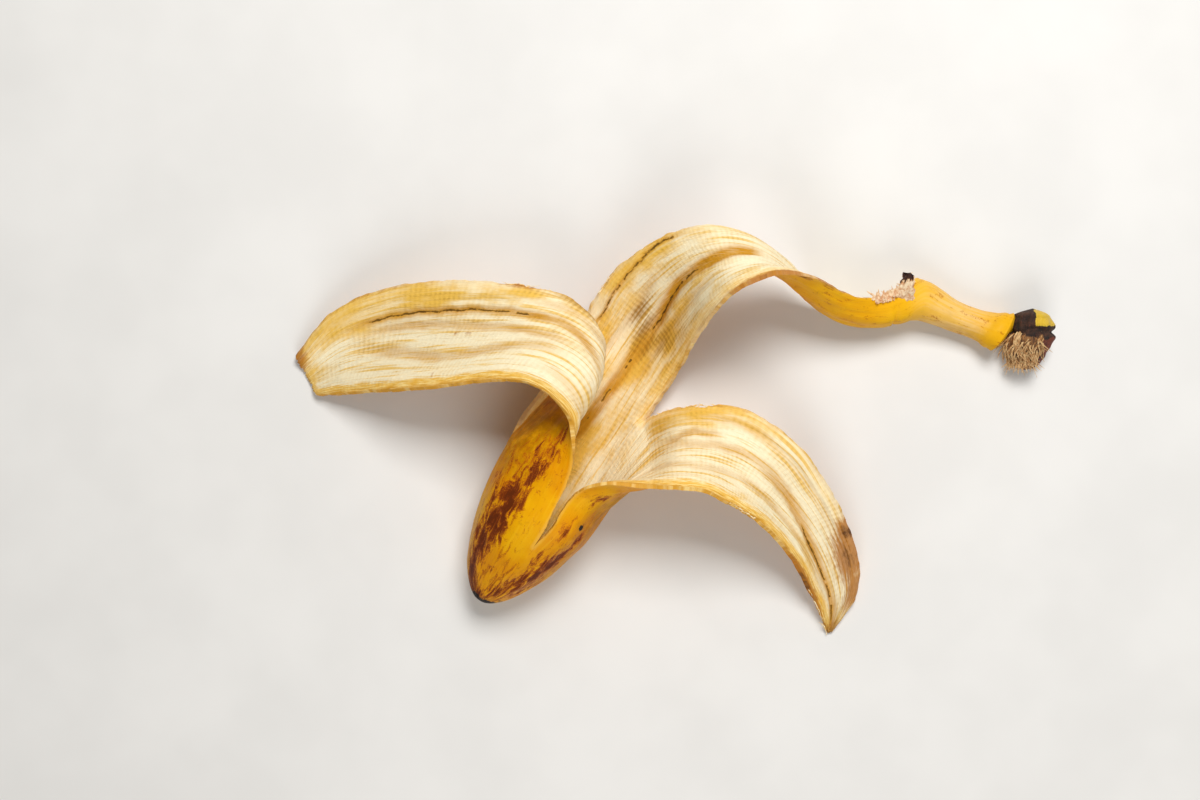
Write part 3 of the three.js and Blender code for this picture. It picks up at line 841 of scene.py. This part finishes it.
def crown_material(colours):
    """The torn crown: near-black bark, yellow skin, raw brown fibre and a reddish side."""
    shader = Shader("broken_crown")
    place = object_place(shader)
    mottle = shader.noise(place, 0.5, detail=6, roughness=0.7)
    grain = shader.stretched(place, (1.6, 0.35, 1.6), detail=5, roughness=0.7)
    colour = shader.blend(shader.between(mottle, 0.35, 0.65), colours.black, colours.crown_brown)
    colour = shader.over(colour, colours.crown_red, grain, 0.55, 0.75, 0, 0.6)
    raw = shader.wavering(shader.attribute("raw"), mottle, -0.3, 0.3)
    fibre = shader.blend(shader.between(grain, 0.35, 0.65), colours.crown_brown, colours.fibre)
    colour = shader.over(colour, fibre, raw, 0.4, 0.65)
    red = shader.wavering(shader.attribute("reddish"), mottle, -0.3, 0.3)
    colour = shader.over(colour, colours.crown_red, red, 0.3, 0.6, 0, 0.9)
    yellow = shader.wavering(shader.attribute("yellow"), mottle, -0.25, 0.25)
    colour = shader.over(colour, colours.crown_yellow, yellow, 0.4, 0.55)
    relief = shader.plus(grain, mottle)
    rough = shader.between(yellow, 0.4, 0.6, 0.8, 0.4)
    return shader.finish(colour, rough, relief, 0.6)


def fibre_material(name, colours, pale, dark):
    """Dry torn strands, paler and darker by turns."""
    shader = Shader(name)
    place = object_place(shader)
    strands = shader.noise(place, 0.9, detail=4, roughness=0.7)
    colour = shader.blend(shader.between(strands, 0.35, 0.65), dark, pale)
    tips = shader.attribute("tip")
    colour = shader.over(colour, colours.fibre_pale, tips, 0.6, 1.0, 0, 0.5)
    return shader.finish(colour, 0.75, strands, 0.2)


def pith_material(colours):
    """Pinkish pale pith that has dried dark at its tip."""
    shader = Shader("torn_pith")
    place = object_place(shader)
    mottle = shader.noise(place, 0.9, detail=5, roughness=0.7)
    grain = shader.noise(place, 2.5, detail=4, roughness=0.7)
    colour = shader.blend(shader.between(mottle, 0.4, 0.65), colours.pith, colours.pith_shade)
    dried = shader.wavering(shader.attribute("dried"), mottle, -0.3, 0.3)
    colour = shader.over(colour, colours.fibre, dried, 0.25, 0.55, 0, 0.9)
    colour = shader.over(colour, colours.bruise_dark, dried, 0.5, 0.85)
    return shader.finish(colour, 0.75, grain, 0.4)


def floor_material(colours):
    """Plain pale tabletop with a faint mottle."""
    shader = Shader("studio_floor")
    place = object_place(shader)
    faint = shader.noise(place, 0.02, detail=3)
    colour = shader.blend(shader.between(faint, 0.3, 0.7), colours.floor, colours.floor_shade)
    return shader.finish(colour, 0.7, faint, 0.05)


# ---------------------------------------------------------------- settings

def colour_property(name, description, code):
    return FloatVectorProperty(
        name=name, description=description, subtype="COLOR", size=3, min=0, max=1,
        default=from_hex(code))


def length_property(name, description, millimetres):
    return FloatProperty(
        name=name, description=description, default=millimetres * MM, unit="LENGTH", precision=5)


def power_property(name, description, watts):
    return FloatProperty(name=name, description=description, default=watts, unit="POWER")


class PeelSizes(bpy.types.PropertyGroup):
    """Sizes of the peel's wall and edges."""
    thickness: length_property("Thickness", "Wall of the peel", 2.8)
    end_thickness: length_property("End thickness", "Wall at a strip's torn end", 1.5)
    edge_thickness: length_property("Edge thickness", "Wall at a torn edge", 1.0)
    bevel: length_property("Slanted edge", "Width of the slanted torn edge", 3.0)
    fray: length_property("Fray", "How far the torn edges wander", 0.45)
    fibres: IntProperty(
        name="Crown fibres", description="Strands on the broken crown", default=210, min=1)
    threads: IntProperty(
        name="Edge threads", description="Loose threads on the torn edges", default=70, min=1)


class PeelColours(bpy.types.PropertyGroup):
    """Colours of the peel and the floor."""
    skin: colour_property("Skin", "Ripe yellow skin", "E8A804")
    skin_orange: colour_property("Deep skin", "Warmer yellow of the skin", "DE9000")
    skin_light: colour_property("Light skin", "Paler lengthwise streaks", "F2C01E")
    # partly the skin's own olive tone, partly painted shade under the arch and on the lower sides
    # of the cup and neck
    skin_olive_and_shade: colour_property("Shaded skin", "Dull olive skin by the fold", "8E5600")
    bruise_edge: colour_property("Bruise edge", "Where a bruise fades out", "B05A0C")
    bruise: colour_property("Bruise", "Brown of a bruise", "82380A")
    bruise_dark: colour_property("Dark bruise", "Middle of a bruise", "3A1708")
    black: colour_property("Scar", "Black scars and the tip", "1D120C")
    flesh: colour_property("Flesh", "Cream inside of the peel", "FBEDC8")
    flesh_light: colour_property("Light flesh", "Palest fibres", "FCF3D2")
    flesh_tan: colour_property("Tan flesh", "Yellowed inside", "EDBE52")
    flesh_shade: colour_property("Flesh ripple", "Fine ripples and specks", "DCAA42")
    flesh_olive: colour_property("Olive flesh", "Bruised through flesh", "9A6A1C")
    flesh_brown: colour_property("Brown flesh", "Browned places", "B06A12")
    ochre: colour_property("Fold", "Ochre in folds", "CB9020")
    crack: colour_property("Crack", "Dark cracks", "664711")
    edge_gold: colour_property("Torn edge", "Golden torn edge", "EBB548")
    edge_light: colour_property("Light torn edge", "Paler streaks of the torn edge", "F8D88A")
    edge_dark: colour_property("Dark torn edge", "Where the torn edge meets the skin", "C88A20")
    crown_brown: colour_property("Crown", "Bark of the crown", "4A2C1B")
    crown_red: colour_property("Crown side", "Reddish side of the crown", "7C3A26")
    crown_yellow: colour_property("Crown skin", "Skin left on the crown", "E2BA2C")
    fibre: colour_property("Fibre", "Raw torn fibre", "A8743F")
    fibre_pale: colour_property("Pale fibre", "Ends of torn fibre", "DDBB86")
    pith: colour_property("Pith", "Pale pith of the neck", "F2D9B4")
    pith_shade: colour_property("Pith shade", "Pinkish shade of the pith", "C98F60")
    floor: colour_property("Floor", "Pale tabletop", "E4E2DE")
    floor_shade: colour_property("Floor mottle", "Slightly darker tabletop", "DEDCD8")


class StudioSettings(bpy.types.PropertyGroup):
    """Camera and lights."""
    lens: FloatProperty(name="Lens", description="Focal length", default=50, unit="CAMERA")
    key: power_property("Key light", "Power of the main light", 6.9)
    fill: power_property("Fill light", "Power of the fill light", 3.6)
    world: FloatProperty(
        name="Surroundings", description="Strength of the pale surroundings", default=0.2)


# ---------------------------------------------------------------- the peel

def strip_stations(strip):
    """Stations along a strip: close together at the tip, then evenly spaced."""
    tip = TIP_END * (np.arange(TIP_STEPS) / TIP_STEPS) ** TIP_POWER
    shared = np.linspace(TIP_END, SHARED_END, round((SHARED_END - TIP_END) / STEP) + 1)
    end = STRIPS[strip]["end"]
    free = np.linspace(SHARED_END, end, round((end - SHARED_END) / STEP) + 1)
    stations = np.concatenate([tip, shared, free[1:]])
    if strip == "straight":
        nearest = np.argmin(np.abs(stations - NECK_CLOSED_AT))
        stations[nearest] = NECK_CLOSED_AT
    return stations


def edge_pull(strip, side, station, fray):
    """How far a torn edge has frayed inwards at each station, in mm."""
    tear = STRIPS[strip]["tears"][0 if side < 0 else 1]
    started = smoothstep(station, TEARS[tear][1] + 0.5, TEARS[tear][1] + 6)
    if strip == "straight":
        started *= 1 - smoothstep(station, NECK_CLOSED_AT - 3, NECK_CLOSED_AT - 0.5)
    seed = 11.3 * (STRIP_SEEDS[strip] + side)
    wander = 0.6 + noise_at(station / 7, seed) + 0.7 * noise_at(station / 2.4, seed + 5)
    wander += 0.35 * noise_at(station / 1.1, seed + 9)
    more = np.ones(station.shape)
    for ragged_strip, ragged_side, start, stop, times in RAGGED:
        if (ragged_strip, ragged_side) == (strip, side):
            inside = smoothstep(station, start - 3, start + 3)
            more += (times - 1) * inside * (1 - smoothstep(station, stop - 3, stop + 3))
    return np.maximum(wander, 0) * started * more * fray


def frayed(strip, station, across, sizes):
    """Pulls the torn edges and ends in by a ragged amount."""
    breadth = strip_breadth(strip, station)
    fray = sizes.fray / MM
    for side in (-0.5, 0.5):
        weight = smoothstep(across * np.sign(side), 0.3, 0.5)
        across = across - np.sign(side) * weight * edge_pull(strip, side, station, fray) / breadth
    if strip != "straight":
        end = STRIPS[strip]["end"]
        seed = STRIP_SEEDS[strip]
        ragged = 0.2 + 0.9 * noise_at(across * 9, seed) + 0.9 * noise_at(across * 27, seed + 4)
        rounded = END_CORNER * np.abs(2 * across) ** 4
        at_end = smoothstep(station, end - END_TAPER, end)
        station = station - (np.maximum(ragged, 0) + rounded) * at_end
    return station, across


def wall_depth(station, end, edge, sizes):
    """The wall's thickness in mm: thinner at torn ends and slanted off at torn edges."""
    full = sizes.thickness / MM
    at_end = sizes.end_thickness / MM
    at_edge = sizes.edge_thickness / MM
    depth = at_end + (full - at_end) * np.clip((end - station) / END_TAPER, 0, 1)
    slope = np.clip(edge / (sizes.bevel / MM), 0, 1)
    return np.minimum(depth, at_edge + (full - at_edge) * slope)


def mark_flesh(mesh, strip, station, across, breadth, edge):
    """Writes the flesh's folds, cracks, patches and fibres on a strip."""
    relief, ochre, crack = line_marks(strip, station, across, breadth)
    write_attribute(mesh, "ochre", ochre)
    write_attribute(mesh, "crack_mm", crack)
    for kind, rows in FLESH_PATCHES.items():
        marks = patches(rows[strip], station, lambda place: (across - place) * breadth)
        write_attribute(mesh, kind, marks)
    first_gold, second_gold = GOLD_EDGES[strip]
    gold = first_gold + (second_gold - first_gold) * smoothstep(across, -0.2, 0.2)
    write_attribute(mesh, "gold_edge", gold)
    seed = STRIP_SEEDS[strip]
    strings = noise_at(across * breadth / 1.7, station / 26, seed) * 0.28
    strings += noise_at(across * breadth / 0.8 + 7, station / 12, seed) * 0.12
    write_attribute(mesh, "flesh_relief", relief + strings * smoothstep(edge, 0, 2))


def mark_skin(mesh, strip, station, across, edge):
    """Writes the skin's bruises, scars, ridges and dents on a strip."""
    first_angle, second_angle = tear_angles(strip)
    angle = first_angle + (second_angle - first_angle) * (across + 0.5)

    def round_fruit(place):
        turn = (angle - place + 180) % 360 - 180
        return np.radians(turn) * np.maximum(cup_radius(station), 1.0)

    bruise = patches(BRUISES, station, round_fruit)
    write_attribute(mesh, "bruise", bruise)
    write_attribute(mesh, "scar", patches(DARK_SPOTS, station, round_fruit))
    # olive skin and painted shade, from the table of olive and shaded skin
    write_attribute(mesh, "olive_skin_and_shade", patches(OLIVE_AND_SHADED_SKIN, station, round_fruit))
    pith = bell(station - 210.5, 6) * smoothstep(edge, 2.6, 0.4) * (across > 0)
    write_attribute(mesh, "neck_pith", pith)
    ridges = RIDGE_HEIGHT * (sum(bell(round_fruit(ridge), RIDGE_WIDTH) for ridge in RIDGES) - 0.5)
    dents = noise_at(station / 14, angle / 16, 3.0) * 0.35
    dents += noise_at(station / 5, angle / 9, 8.0) * 0.12
    fade = smoothstep(station, 3, 12) * smoothstep(edge, 0, 3)
    write_attribute(mesh, "skin_relief", (ridges + dents - 0.25 * bruise) * fade)


def strip_piece(strip, sizes):
    """One strip as a sheet: its skin's shape with every mark written on it as an attribute."""
    stations = strip_stations(strip)
    select_none()
    bpy.ops.mesh.primitive_grid_add(
        x_subdivisions=len(stations) - 1, y_subdivisions=COLUMNS, size=1)
    obj = named(strip)
    mesh = obj.data
    flat = get_points(mesh)
    row = np.round((flat[:, 0] + 0.5) * (len(stations) - 1)).astype(int)
    share = np.round((flat[:, 1] + 0.5) * COLUMNS) / COLUMNS
    station = stations[row]
    across = led_columns(strip, station, share)
    station, across = frayed(strip, station, across, sizes)
    points = on_strip(strip, station, across)
    if strip == "straight":
        seam = on_strip(strip, station, np.full(station.shape, -0.5))
        closed = (station >= NECK_CLOSED_AT - 0.01) & (share == 1)
        points[closed] = seam[closed]
    set_points(mesh, to_metres(points))

    breadth = strip_breadth(strip, station)
    edge = from_torn_edge(strip, station, across, breadth)
    write_attribute(mesh, "station", station)
    write_attribute(mesh, "edge_mm", np.minimum(edge, 8))
    write_attribute(mesh, "depth", wall_depth(station, STRIPS[strip]["end"], edge, sizes))
    mark_flesh(mesh, strip, station, across, breadth, edge)
    mark_skin(mesh, strip, station, across, edge)
    uv = np.stack([across * UV_BREADTH + UV_APART * STRIP_SEEDS[strip], station], axis=1)
    write_uv(mesh, uv / UV_MM)
    return obj


def join_strips(strips):
    """Makes one sheet of the strips, merged where they share the cup's skin."""
    select_only(*strips)
    bpy.ops.object.join()
    with editing():
        bpy.ops.mesh.select_all(action="SELECT")
        bpy.ops.mesh.remove_doubles(threshold=MERGE)
        bpy.ops.mesh.dissolve_degenerate(threshold=SLIVER)
    return named("peel_skin_and_flesh")


def thicken(peel, thickness):
    """Gives the sheet its wall, as thick at each point as its depth says."""
    depth = read_attribute(peel.data, "depth") * MM
    group = peel.vertex_groups.new(name="depth")
    for level in np.unique(np.round(depth / thickness, 2)):
        chosen = np.nonzero(np.round(depth / thickness, 2) == level)[0]
        group.add(chosen.tolist(), float(min(level, 1)), "REPLACE")
    solidify = peel.modifiers.new("wall", "SOLIDIFY")
    solidify.thickness = thickness
    solidify.offset = -1
    solidify.vertex_group = "depth"
    solidify.material_offset = 1
    solidify.material_offset_rim = 1
    bpy.ops.object.modifier_apply(modifier="wall")
    peel.vertex_groups.clear()


def close_stem(peel, skin_count):
    """Draws the hollow together in the neck, so that the stem is solid."""
    mesh = peel.data
    points = get_points(mesh)
    station = read_attribute(mesh, "station")
    inside = np.arange(len(points)) >= skin_count
    in_neck = inside & (station > NECK_BLEND[0])
    closing = smoothstep(station[in_neck], NECK_BLEND[1], HOLLOW_END)[:, None]
    axis = to_metres(neck_middle(station[in_neck]))
    points[in_neck] = points[in_neck] * (1 - closing) + axis * closing
    set_points(mesh, points)
    buried = inside & (station > HOLLOW_END + 0.01)
    with editing():
        bpy.ops.mesh.select_mode(type="FACE")
    for face in mesh.polygons:
        face.select = all(buried[i] for i in face.vertices)
    with editing():
        bpy.ops.mesh.delete(type="FACE")
        bpy.ops.mesh.select_mode(type="VERT")
        bpy.ops.mesh.select_all(action="SELECT")
        bpy.ops.mesh.remove_doubles(threshold=MERGE)


class PEEL_OT_shell(bpy.types.Operator):
    """Build the whole peel: three torn strips, the cup, the neck and the stem"""
    bl_idname = "peel.shell"
    bl_label = "Peel"

    def execute(self, context):
        sizes = context.scene.peel_sizes
        colours = context.scene.peel_colours
        peel = join_strips([strip_piece(strip, sizes) for strip in STRIPS])
        peel.data.materials.append(skin_material(colours))
        peel.data.materials.append(flesh_material(colours))
        skin_count = len(peel.data.vertices)
        thicken(peel, sizes.thickness)
        mesh = peel.data
        is_flesh = np.arange(len(mesh.vertices)) >= skin_count
        flesh, skin = (read_attribute(mesh, side + "_relief") for side in ("flesh", "skin"))
        relief = np.where(is_flesh, flesh, skin)
        normals = read_vectors(mesh.vertex_normals, "vector")
        points = get_points(mesh) + normals * relief[:, None] * MM
        set_points(mesh, on_table(points, np.where(is_flesh, FLESH_CLEARANCE, 0)))
        close_stem(peel, skin_count)
        finish_piece(peel)
        return {"FINISHED"}


# ---------------------------------------------------------------- strands

STRAND_SIDES = 5
STRAND_RINGS = 6


def strands(name, spines, radii):
    """One mesh of tapered strands, copies of one modelled strand bent along its own spine each.
    spines holds each strand's points in layout mm, radii its radius at the root."""
    select_none()
    bpy.ops.mesh.primitive_cylinder_add(
        vertices=STRAND_SIDES, radius=1, depth=1, end_fill_type="NGON")
    obj = named(name)
    with editing():
        bpy.ops.mesh.select_all(action="DESELECT")
    for edge in obj.data.edges:
        low, high = (obj.data.vertices[i].co.z for i in edge.vertices)
        edge.select = abs(low - high) > 0.5
    with editing():
        bpy.ops.mesh.subdivide(number_cuts=STRAND_RINGS - 1)
    model = get_points(obj.data)
    faces = [tuple(face.vertices) for face in obj.data.polygons]
    height = model[:, 2] + 0.5
    points = []
    tips = []
    for spine, radius in zip(spines, radii):
        rows = [(i / (len(spine) - 1), *point) for i, point in enumerate(spine)]
        middle = curve_through(rows, height)
        ahead = unit(curve_through(rows, height + 0.05) - curve_through(rows, height - 0.05))
        side = unit(np.cross(ahead, UP + 0.01))
        top = np.cross(side, ahead)
        taper = (radius * (1 - 0.85 * height**1.5))[:, None]
        points.append(middle + taper * (model[:, :1] * side + model[:, 1:2] * top))
        tips.append(height)
    count = len(model)
    every_face = [tuple(i + n * count for i in face) for n in range(len(spines)) for face in faces]
    mesh = bpy.data.meshes.new(name)
    mesh.from_pydata(on_table(to_metres(np.concatenate(points))).tolist(), [], every_face)
    write_attribute(mesh, "tip", np.concatenate(tips))
    obj.data = mesh
    return obj


# ---------------------------------------------------------------- the crown

def on_crown(down, turn, swell=1.0):
    """A point of the crown's surface: mm down it, radians round it, and how swollen it is there."""
    x, y, z, half_length, half_height = curve_through(CROWN, down).T
    beside = half_length * np.cos(turn) * swell
    above = half_height * np.sin(turn) * swell
    return np.stack([x + beside, y, z + above], axis=1)


CROWN_SEGMENTS = 72
CROWN_RINGS = 54
FIBRE_LIFT = np.array([0.88, 1.04, 1.1, 1.16])      # how far out of the crown each fibre runs
FIBRE_SWAY = np.array([1.9, 0.6, 1.1])              # how far the fibres' ends stray, in mm
FIBRES_LEAVE = 16.5                                 # how far down they stop following the crown


class PEEL_OT_crown_fibres(bpy.types.Operator):
    """Build the raw strands that hang from the broken crown"""
    bl_idname = "peel.crown_fibres"
    bl_label = "Crown fibres"

    def execute(self, context):
        random = np.random.default_rng(4)
        count = context.scene.peel_sizes.fibres
        colours = context.scene.peel_colours
        down = random.uniform(7, 16, count)
        turn = random.uniform(60, 205, count)
        length = random.uniform(2.5, 7.5, count)
        reach = np.minimum(down + length, CROWN_LENGTH + random.uniform(-2, 1.6, count))
        sway = random.normal(0, 1, (count, 3))
        spines = []
        for i in range(count):
            steps = np.linspace(down[i], reach[i], len(FIBRE_LIFT))
            along = np.linspace(0, 1, len(FIBRE_LIFT))
            on_body = np.minimum(steps, FIBRES_LEAVE)
            middle = curve_through(CROWN, on_body)[:, :3]
            spine = middle + (on_crown(on_body, np.radians(turn[i])) - middle) * FIBRE_LIFT[:, None]
            spine[:, 1] = CROWN[0][2] - steps + 0.2
            spine += sway[i] * along[:, None] ** 1.5 * FIBRE_SWAY
            spine[:, 0] += along**2 * 0.9
            spines.append(spine)
        fibres = strands("crown_fibres", spines, random.uniform(0.15, 0.36, count))
        finish_piece(
            fibres, fibre_material("raw_fibre", colours, colours.fibre_pale, colours.fibre))
        return {"FINISHED"}


class PEEL_OT_crown(bpy.types.Operator):
    """Build the broken crown at the end of the stem"""
    bl_idname = "peel.crown"
    bl_label = "Broken crown"

    def execute(self, context):
        select_none()
        bpy.ops.mesh.primitive_uv_sphere_add(
            segments=CROWN_SEGMENTS, ring_count=CROWN_RINGS, radius=1)
        crown = named("broken_crown")
        ball = get_points(crown.data)
        down = CROWN_LENGTH * np.arccos(np.clip(ball[:, 2], -1, 1)) / math.pi
        turn = np.arctan2(ball[:, 1], ball[:, 0])
        degrees = np.degrees(turn)
        across, above = np.cos(turn), np.sin(turn)
        lumps = noise_at(across * 1.4, above * 1.4, down / 4.5)
        lumps += 0.5 * noise_at(across * 3, above * 3, down / 2 + 9)
        raw = smoothstep(down, 6.5, 9.5) * smoothstep(across, 0.6, 0.3)
        torn = noise_at(across * 6, above * 6, down / 5 + 3)
        crevice = bell(down - 6.6 - 0.8 * np.sin(3 * turn), 0.8)
        crevice += 0.7 * bell(degrees - 108 - 3 * down, 7) * (1 - smoothstep(down, 5, 7))
        swell = 1 + 0.16 * lumps + 0.12 * raw * torn - 0.15 * crevice + 0.05 * torn * (1 - raw)
        yellow = smoothstep(degrees, 2, 18) * (1 - smoothstep(degrees, 86, 100))
        yellow *= 1 - smoothstep(down, 4.2, 6.0)
        write_attribute(crown.data, "yellow", yellow)
        write_attribute(crown.data, "raw", raw)
        write_attribute(crown.data, "reddish", bell(degrees, 55) * smoothstep(down, 7, 10))
        set_points(crown.data, on_table(to_metres(on_crown(down, turn, swell))))
        with editing():
            bpy.ops.mesh.select_all(action="SELECT")
            bpy.ops.mesh.normals_make_consistent(inside=False)
            # a new ball's faces are in a different order each time
            bpy.ops.mesh.sort_elements(type="CURSOR_DISTANCE", elements={"FACE"})
        finish_piece(crown, crown_material(context.scene.peel_colours), smooth_angle=40)
        return {"FINISHED"}


# ---------------------------------------------------------------- the neck's torn pith

# Rows across the torn flake that stands on the neck: its middle, half width and which way it leans.
FLAKE = [
    (0, 91.6, 30.4, 13.6, 4.4), (0.35, 91.8, 33.2, 14.8, 3.6), (0.7, 92.8, 36, 15.2, 2.4),
    (0.9, 93.3, 38.1, 14.9, 1.5), (1, 93.5, 39.4, 14.4, 0.6),
]
FLAKE_THICKNESS = 1.7 * MM
FLAKE_COLUMNS = 22
FLAKE_ROWS = 24
PITH_STRANDS = 110
PITH_STEPS = (-0.5, 0.2, 0.7, 1.0)      # the points of a strand, as parts of its length
PITH_LIFT = 0.15 * UP                   # how far the strands are raised, in mm


class PEEL_OT_neck_flake(bpy.types.Operator):
    """Build the ragged flake of pith with its dried tip where the neck is torn"""
    bl_idname = "peel.neck_flake"
    bl_label = "Neck flake"

    def execute(self, context):
        select_none()
        bpy.ops.mesh.primitive_grid_add(
            x_subdivisions=FLAKE_COLUMNS, y_subdivisions=FLAKE_ROWS, size=1)
        flake = named("neck_flake")
        flat = get_points(flake.data)
        up = flat[:, 1] + 0.5
        across = 2 * flat[:, 0]
        x, y, z, half = curve_through(FLAKE, up).T
        ragged = 1 + 0.35 * noise_at(up * 7, np.sign(across) * 4) * np.abs(across)
        curl = 1.6 * across**2 * (1 - 0.6 * up)
        rough = 0.45 * noise_at(across * 3, up * 5, 2.0) + 0.25 * noise_at(across * 8, up * 9, 5.0)
        x = x + across * half * ragged
        y = y + 0.4 * noise_at(across * 4, 1.0)
        set_points(flake.data, to_metres(np.stack([x, y, z - curl + rough], axis=1)))
        dried = smoothstep(up + 0.1 * noise_at(across * 5, up * 5), 0.72, 0.9)
        write_attribute(flake.data, "dried", dried)
        solidify = flake.modifiers.new("wall", "SOLIDIFY")
        solidify.thickness = FLAKE_THICKNESS
        solidify.offset = -1
        bpy.ops.object.modifier_apply(modifier="wall")
        finish_piece(flake, pith_material(context.scene.peel_colours))
        return {"FINISHED"}


class PEEL_OT_neck_pith(bpy.types.Operator):
    """Build the pale strands that stand along the neck's torn edge"""
    bl_idname = "peel.neck_pith"
    bl_label = "Neck pith"

    def execute(self, context):
        random = np.random.default_rng(9)
        colours = context.scene.peel_colours
        station = random.uniform(203, 215, PITH_STRANDS)
        across = random.uniform(0.44, 0.5, PITH_STRANDS)
        root = on_strip("straight", station, across)
        outward = unit(root - on_strip("straight", station, across - 0.06))
        forwards = unit(on_strip("straight", station + 1, across) - root)
        length = random.uniform(0.6, 2.4, PITH_STRANDS)[:, None]
        lean = random.normal(0, 0.8, (PITH_STRANDS, 1))
        bow = random.normal(0, 0.35, (PITH_STRANDS, 3))
        root = root + PITH_LIFT
        spines = np.stack([
            root + length * (outward * step + forwards * lean * abs(step)) + bow * step**2
            for step in PITH_STEPS
        ], axis=1)
        pith = strands("neck_pith", spines, random.uniform(0.2, 0.55, PITH_STRANDS))
        finish_piece(pith, fibre_material("pale_pith", colours, colours.pith, colours.pith_shade))
        return {"FINISHED"}


# ---------------------------------------------------------------- loose threads

THREAD_STEPS = (-0.4, 0.1, 0.6, 1.0)    # the points of a thread, as parts of its length
THREAD_INSET = 0.8                      # how far into the wall a thread is rooted, in mm
THREAD_STRETCH = 110                    # the setting's number of threads is for this length, in mm


class PEEL_OT_threads(bpy.types.Operator):
    """Build the loose threads along the torn edges"""
    bl_idname = "peel.threads"
    bl_label = "Edge threads"

    def execute(self, context):
        random = np.random.default_rng(21)
        colours = context.scene.peel_colours
        spines = []
        for strip, side, start, stop, times in RAGGED:
            if stop > NECK_BLEND[0]:
                continue
            count = round(context.scene.peel_sizes.threads * (stop - start) / THREAD_STRETCH)
            station = random.uniform(start, stop, count)
            inner = np.sign(side) * (0.5 - random.uniform(0.008, 0.03, count))
            root = on_strip(strip, station, inner)
            outward = unit(root - on_strip(strip, station, inner - np.sign(side) * 0.05))
            ahead = on_strip(strip, station + 1, inner) - root
            forwards = unit(ahead) * random.choice([-1, 1], (count, 1))
            root = root - THREAD_INSET * unit(np.cross(ahead, outward)) * np.sign(side)
            length = random.uniform(1.0, 3.4, count)[:, None]
            bow = random.normal(0, 0.25, (count, 3))
            spines.extend(np.stack([
                root + length * (forwards * step + outward * 0.25 * step**2) + bow * step
                for step in THREAD_STEPS
            ], axis=1))
        threads = strands("edge_threads", spines, random.uniform(0.1, 0.24, len(spines)))
        finish_piece(
            threads, fibre_material("edge_thread", colours, colours.flesh_light, colours.flesh_tan))
        return {"FINISHED"}


# ---------------------------------------------------------------- the studio

CAMERA_PLACE = Vector((-3.2, 46.65, 518.8)) * MM
CAMERA_AIM = Vector((-22.2, 9.45, -0.4)) * MM
LIGHT_AIM = Vector((0, 0, 0.01))
FLOOR_SIZE = 8
WORLD_COLOUR = (1.0, 0.97, 0.92, 1)
SENSOR_WIDTH = 36
CAMERA_NEAREST = 0.01


def area_light(name, place, size, power):
    """A square light that faces the peel."""
    select_none()
    bpy.ops.object.light_add(type="AREA", location=place)
    light = named(name)
    light.data.shape = "SQUARE"
    light.data.size = size
    light.data.energy = power
    light.rotation_euler = (LIGHT_AIM - Vector(place)).to_track_quat("-Z", "Y").to_euler()


class PEEL_OT_studio(bpy.types.Operator):
    """Set up the floor, the lights and the camera"""
    bl_idname = "peel.studio"
    bl_label = "Studio"

    def execute(self, context):
        studio = context.scene.studio_settings
        select_none()
        bpy.ops.mesh.primitive_plane_add(size=FLOOR_SIZE)
        floor = named("studio_floor")
        floor.data.materials.append(floor_material(context.scene.peel_colours))
        area_light("key_light", (0.14, 0.48, 0.71), 0.32, studio.key)
        area_light("fill_light", (0.05, -0.7, 0.6), 0.6, studio.fill)
        world = bpy.data.worlds.new("pale_surroundings")
        world.use_nodes = True
        background = world.node_tree.nodes["Background"]
        background.inputs["Color"].default_value = WORLD_COLOUR
        background.inputs["Strength"].default_value = studio.world
        context.scene.world = world
        context.scene.view_settings.view_transform = "Standard"

        select_none()
        bpy.ops.object.camera_add(location=CAMERA_PLACE)
        camera = bpy.context.object
        camera.data.lens = studio.lens
        camera.data.sensor_width = SENSOR_WIDTH
        camera.data.clip_start = CAMERA_NEAREST
        forwards = (CAMERA_AIM - CAMERA_PLACE).normalized()
        right = forwards.cross(Vector((0, 1, 0))).normalized()
        turned = Matrix((right, right.cross(forwards), -forwards)).transposed()
        camera.rotation_euler = turned.to_euler()
        context.scene.camera = camera
        return {"FINISHED"}


class PEEL_PT_sidebar(bpy.types.Panel):
    """Lists the pieces of the peel"""
    bl_label = "Banana peel"
    bl_idname = "PEEL_PT_sidebar"
    bl_space_type = "VIEW_3D"
    bl_region_type = "UI"
    bl_category = "Peel"

    def draw(self, context):
        for piece in PIECES:
            self.layout.operator(piece.bl_idname)
        for group in ("peel_sizes", "peel_colours", "studio_settings"):
            column = self.layout.column(align=True)
            settings = getattr(context.scene, group)
            for name in settings.bl_rna.properties.keys():
                if name not in ("rna_type", "name"):
                    column.prop(settings, name)


PIECES = (
    PEEL_OT_shell, PEEL_OT_neck_flake, PEEL_OT_neck_pith, PEEL_OT_threads, PEEL_OT_crown,
    PEEL_OT_crown_fibres, PEEL_OT_studio,
)
CLASSES = (PeelSizes, PeelColours, StudioSettings, *PIECES, PEEL_PT_sidebar)


def register():
    for item in CLASSES:
        bpy.utils.register_class(item)
    bpy.types.Scene.peel_sizes = PointerProperty(type=PeelSizes)
    bpy.types.Scene.peel_colours = PointerProperty(type=PeelColours)
    bpy.types.Scene.studio_settings = PointerProperty(type=StudioSettings)


def unregister():
    del bpy.types.Scene.studio_settings
    del bpy.types.Scene.peel_colours
    del bpy.types.Scene.peel_sizes
    for item in reversed(CLASSES):
        bpy.utils.unregister_class(item)


def main():
    register()
    bpy.ops.peel.shell()
    bpy.ops.peel.neck_flake()
    bpy.ops.peel.neck_pith()
    bpy.ops.peel.threads()
    bpy.ops.peel.crown()
    bpy.ops.peel.crown_fibres()
    bpy.ops.peel.studio()


if __name__ == "__main__":
    main()
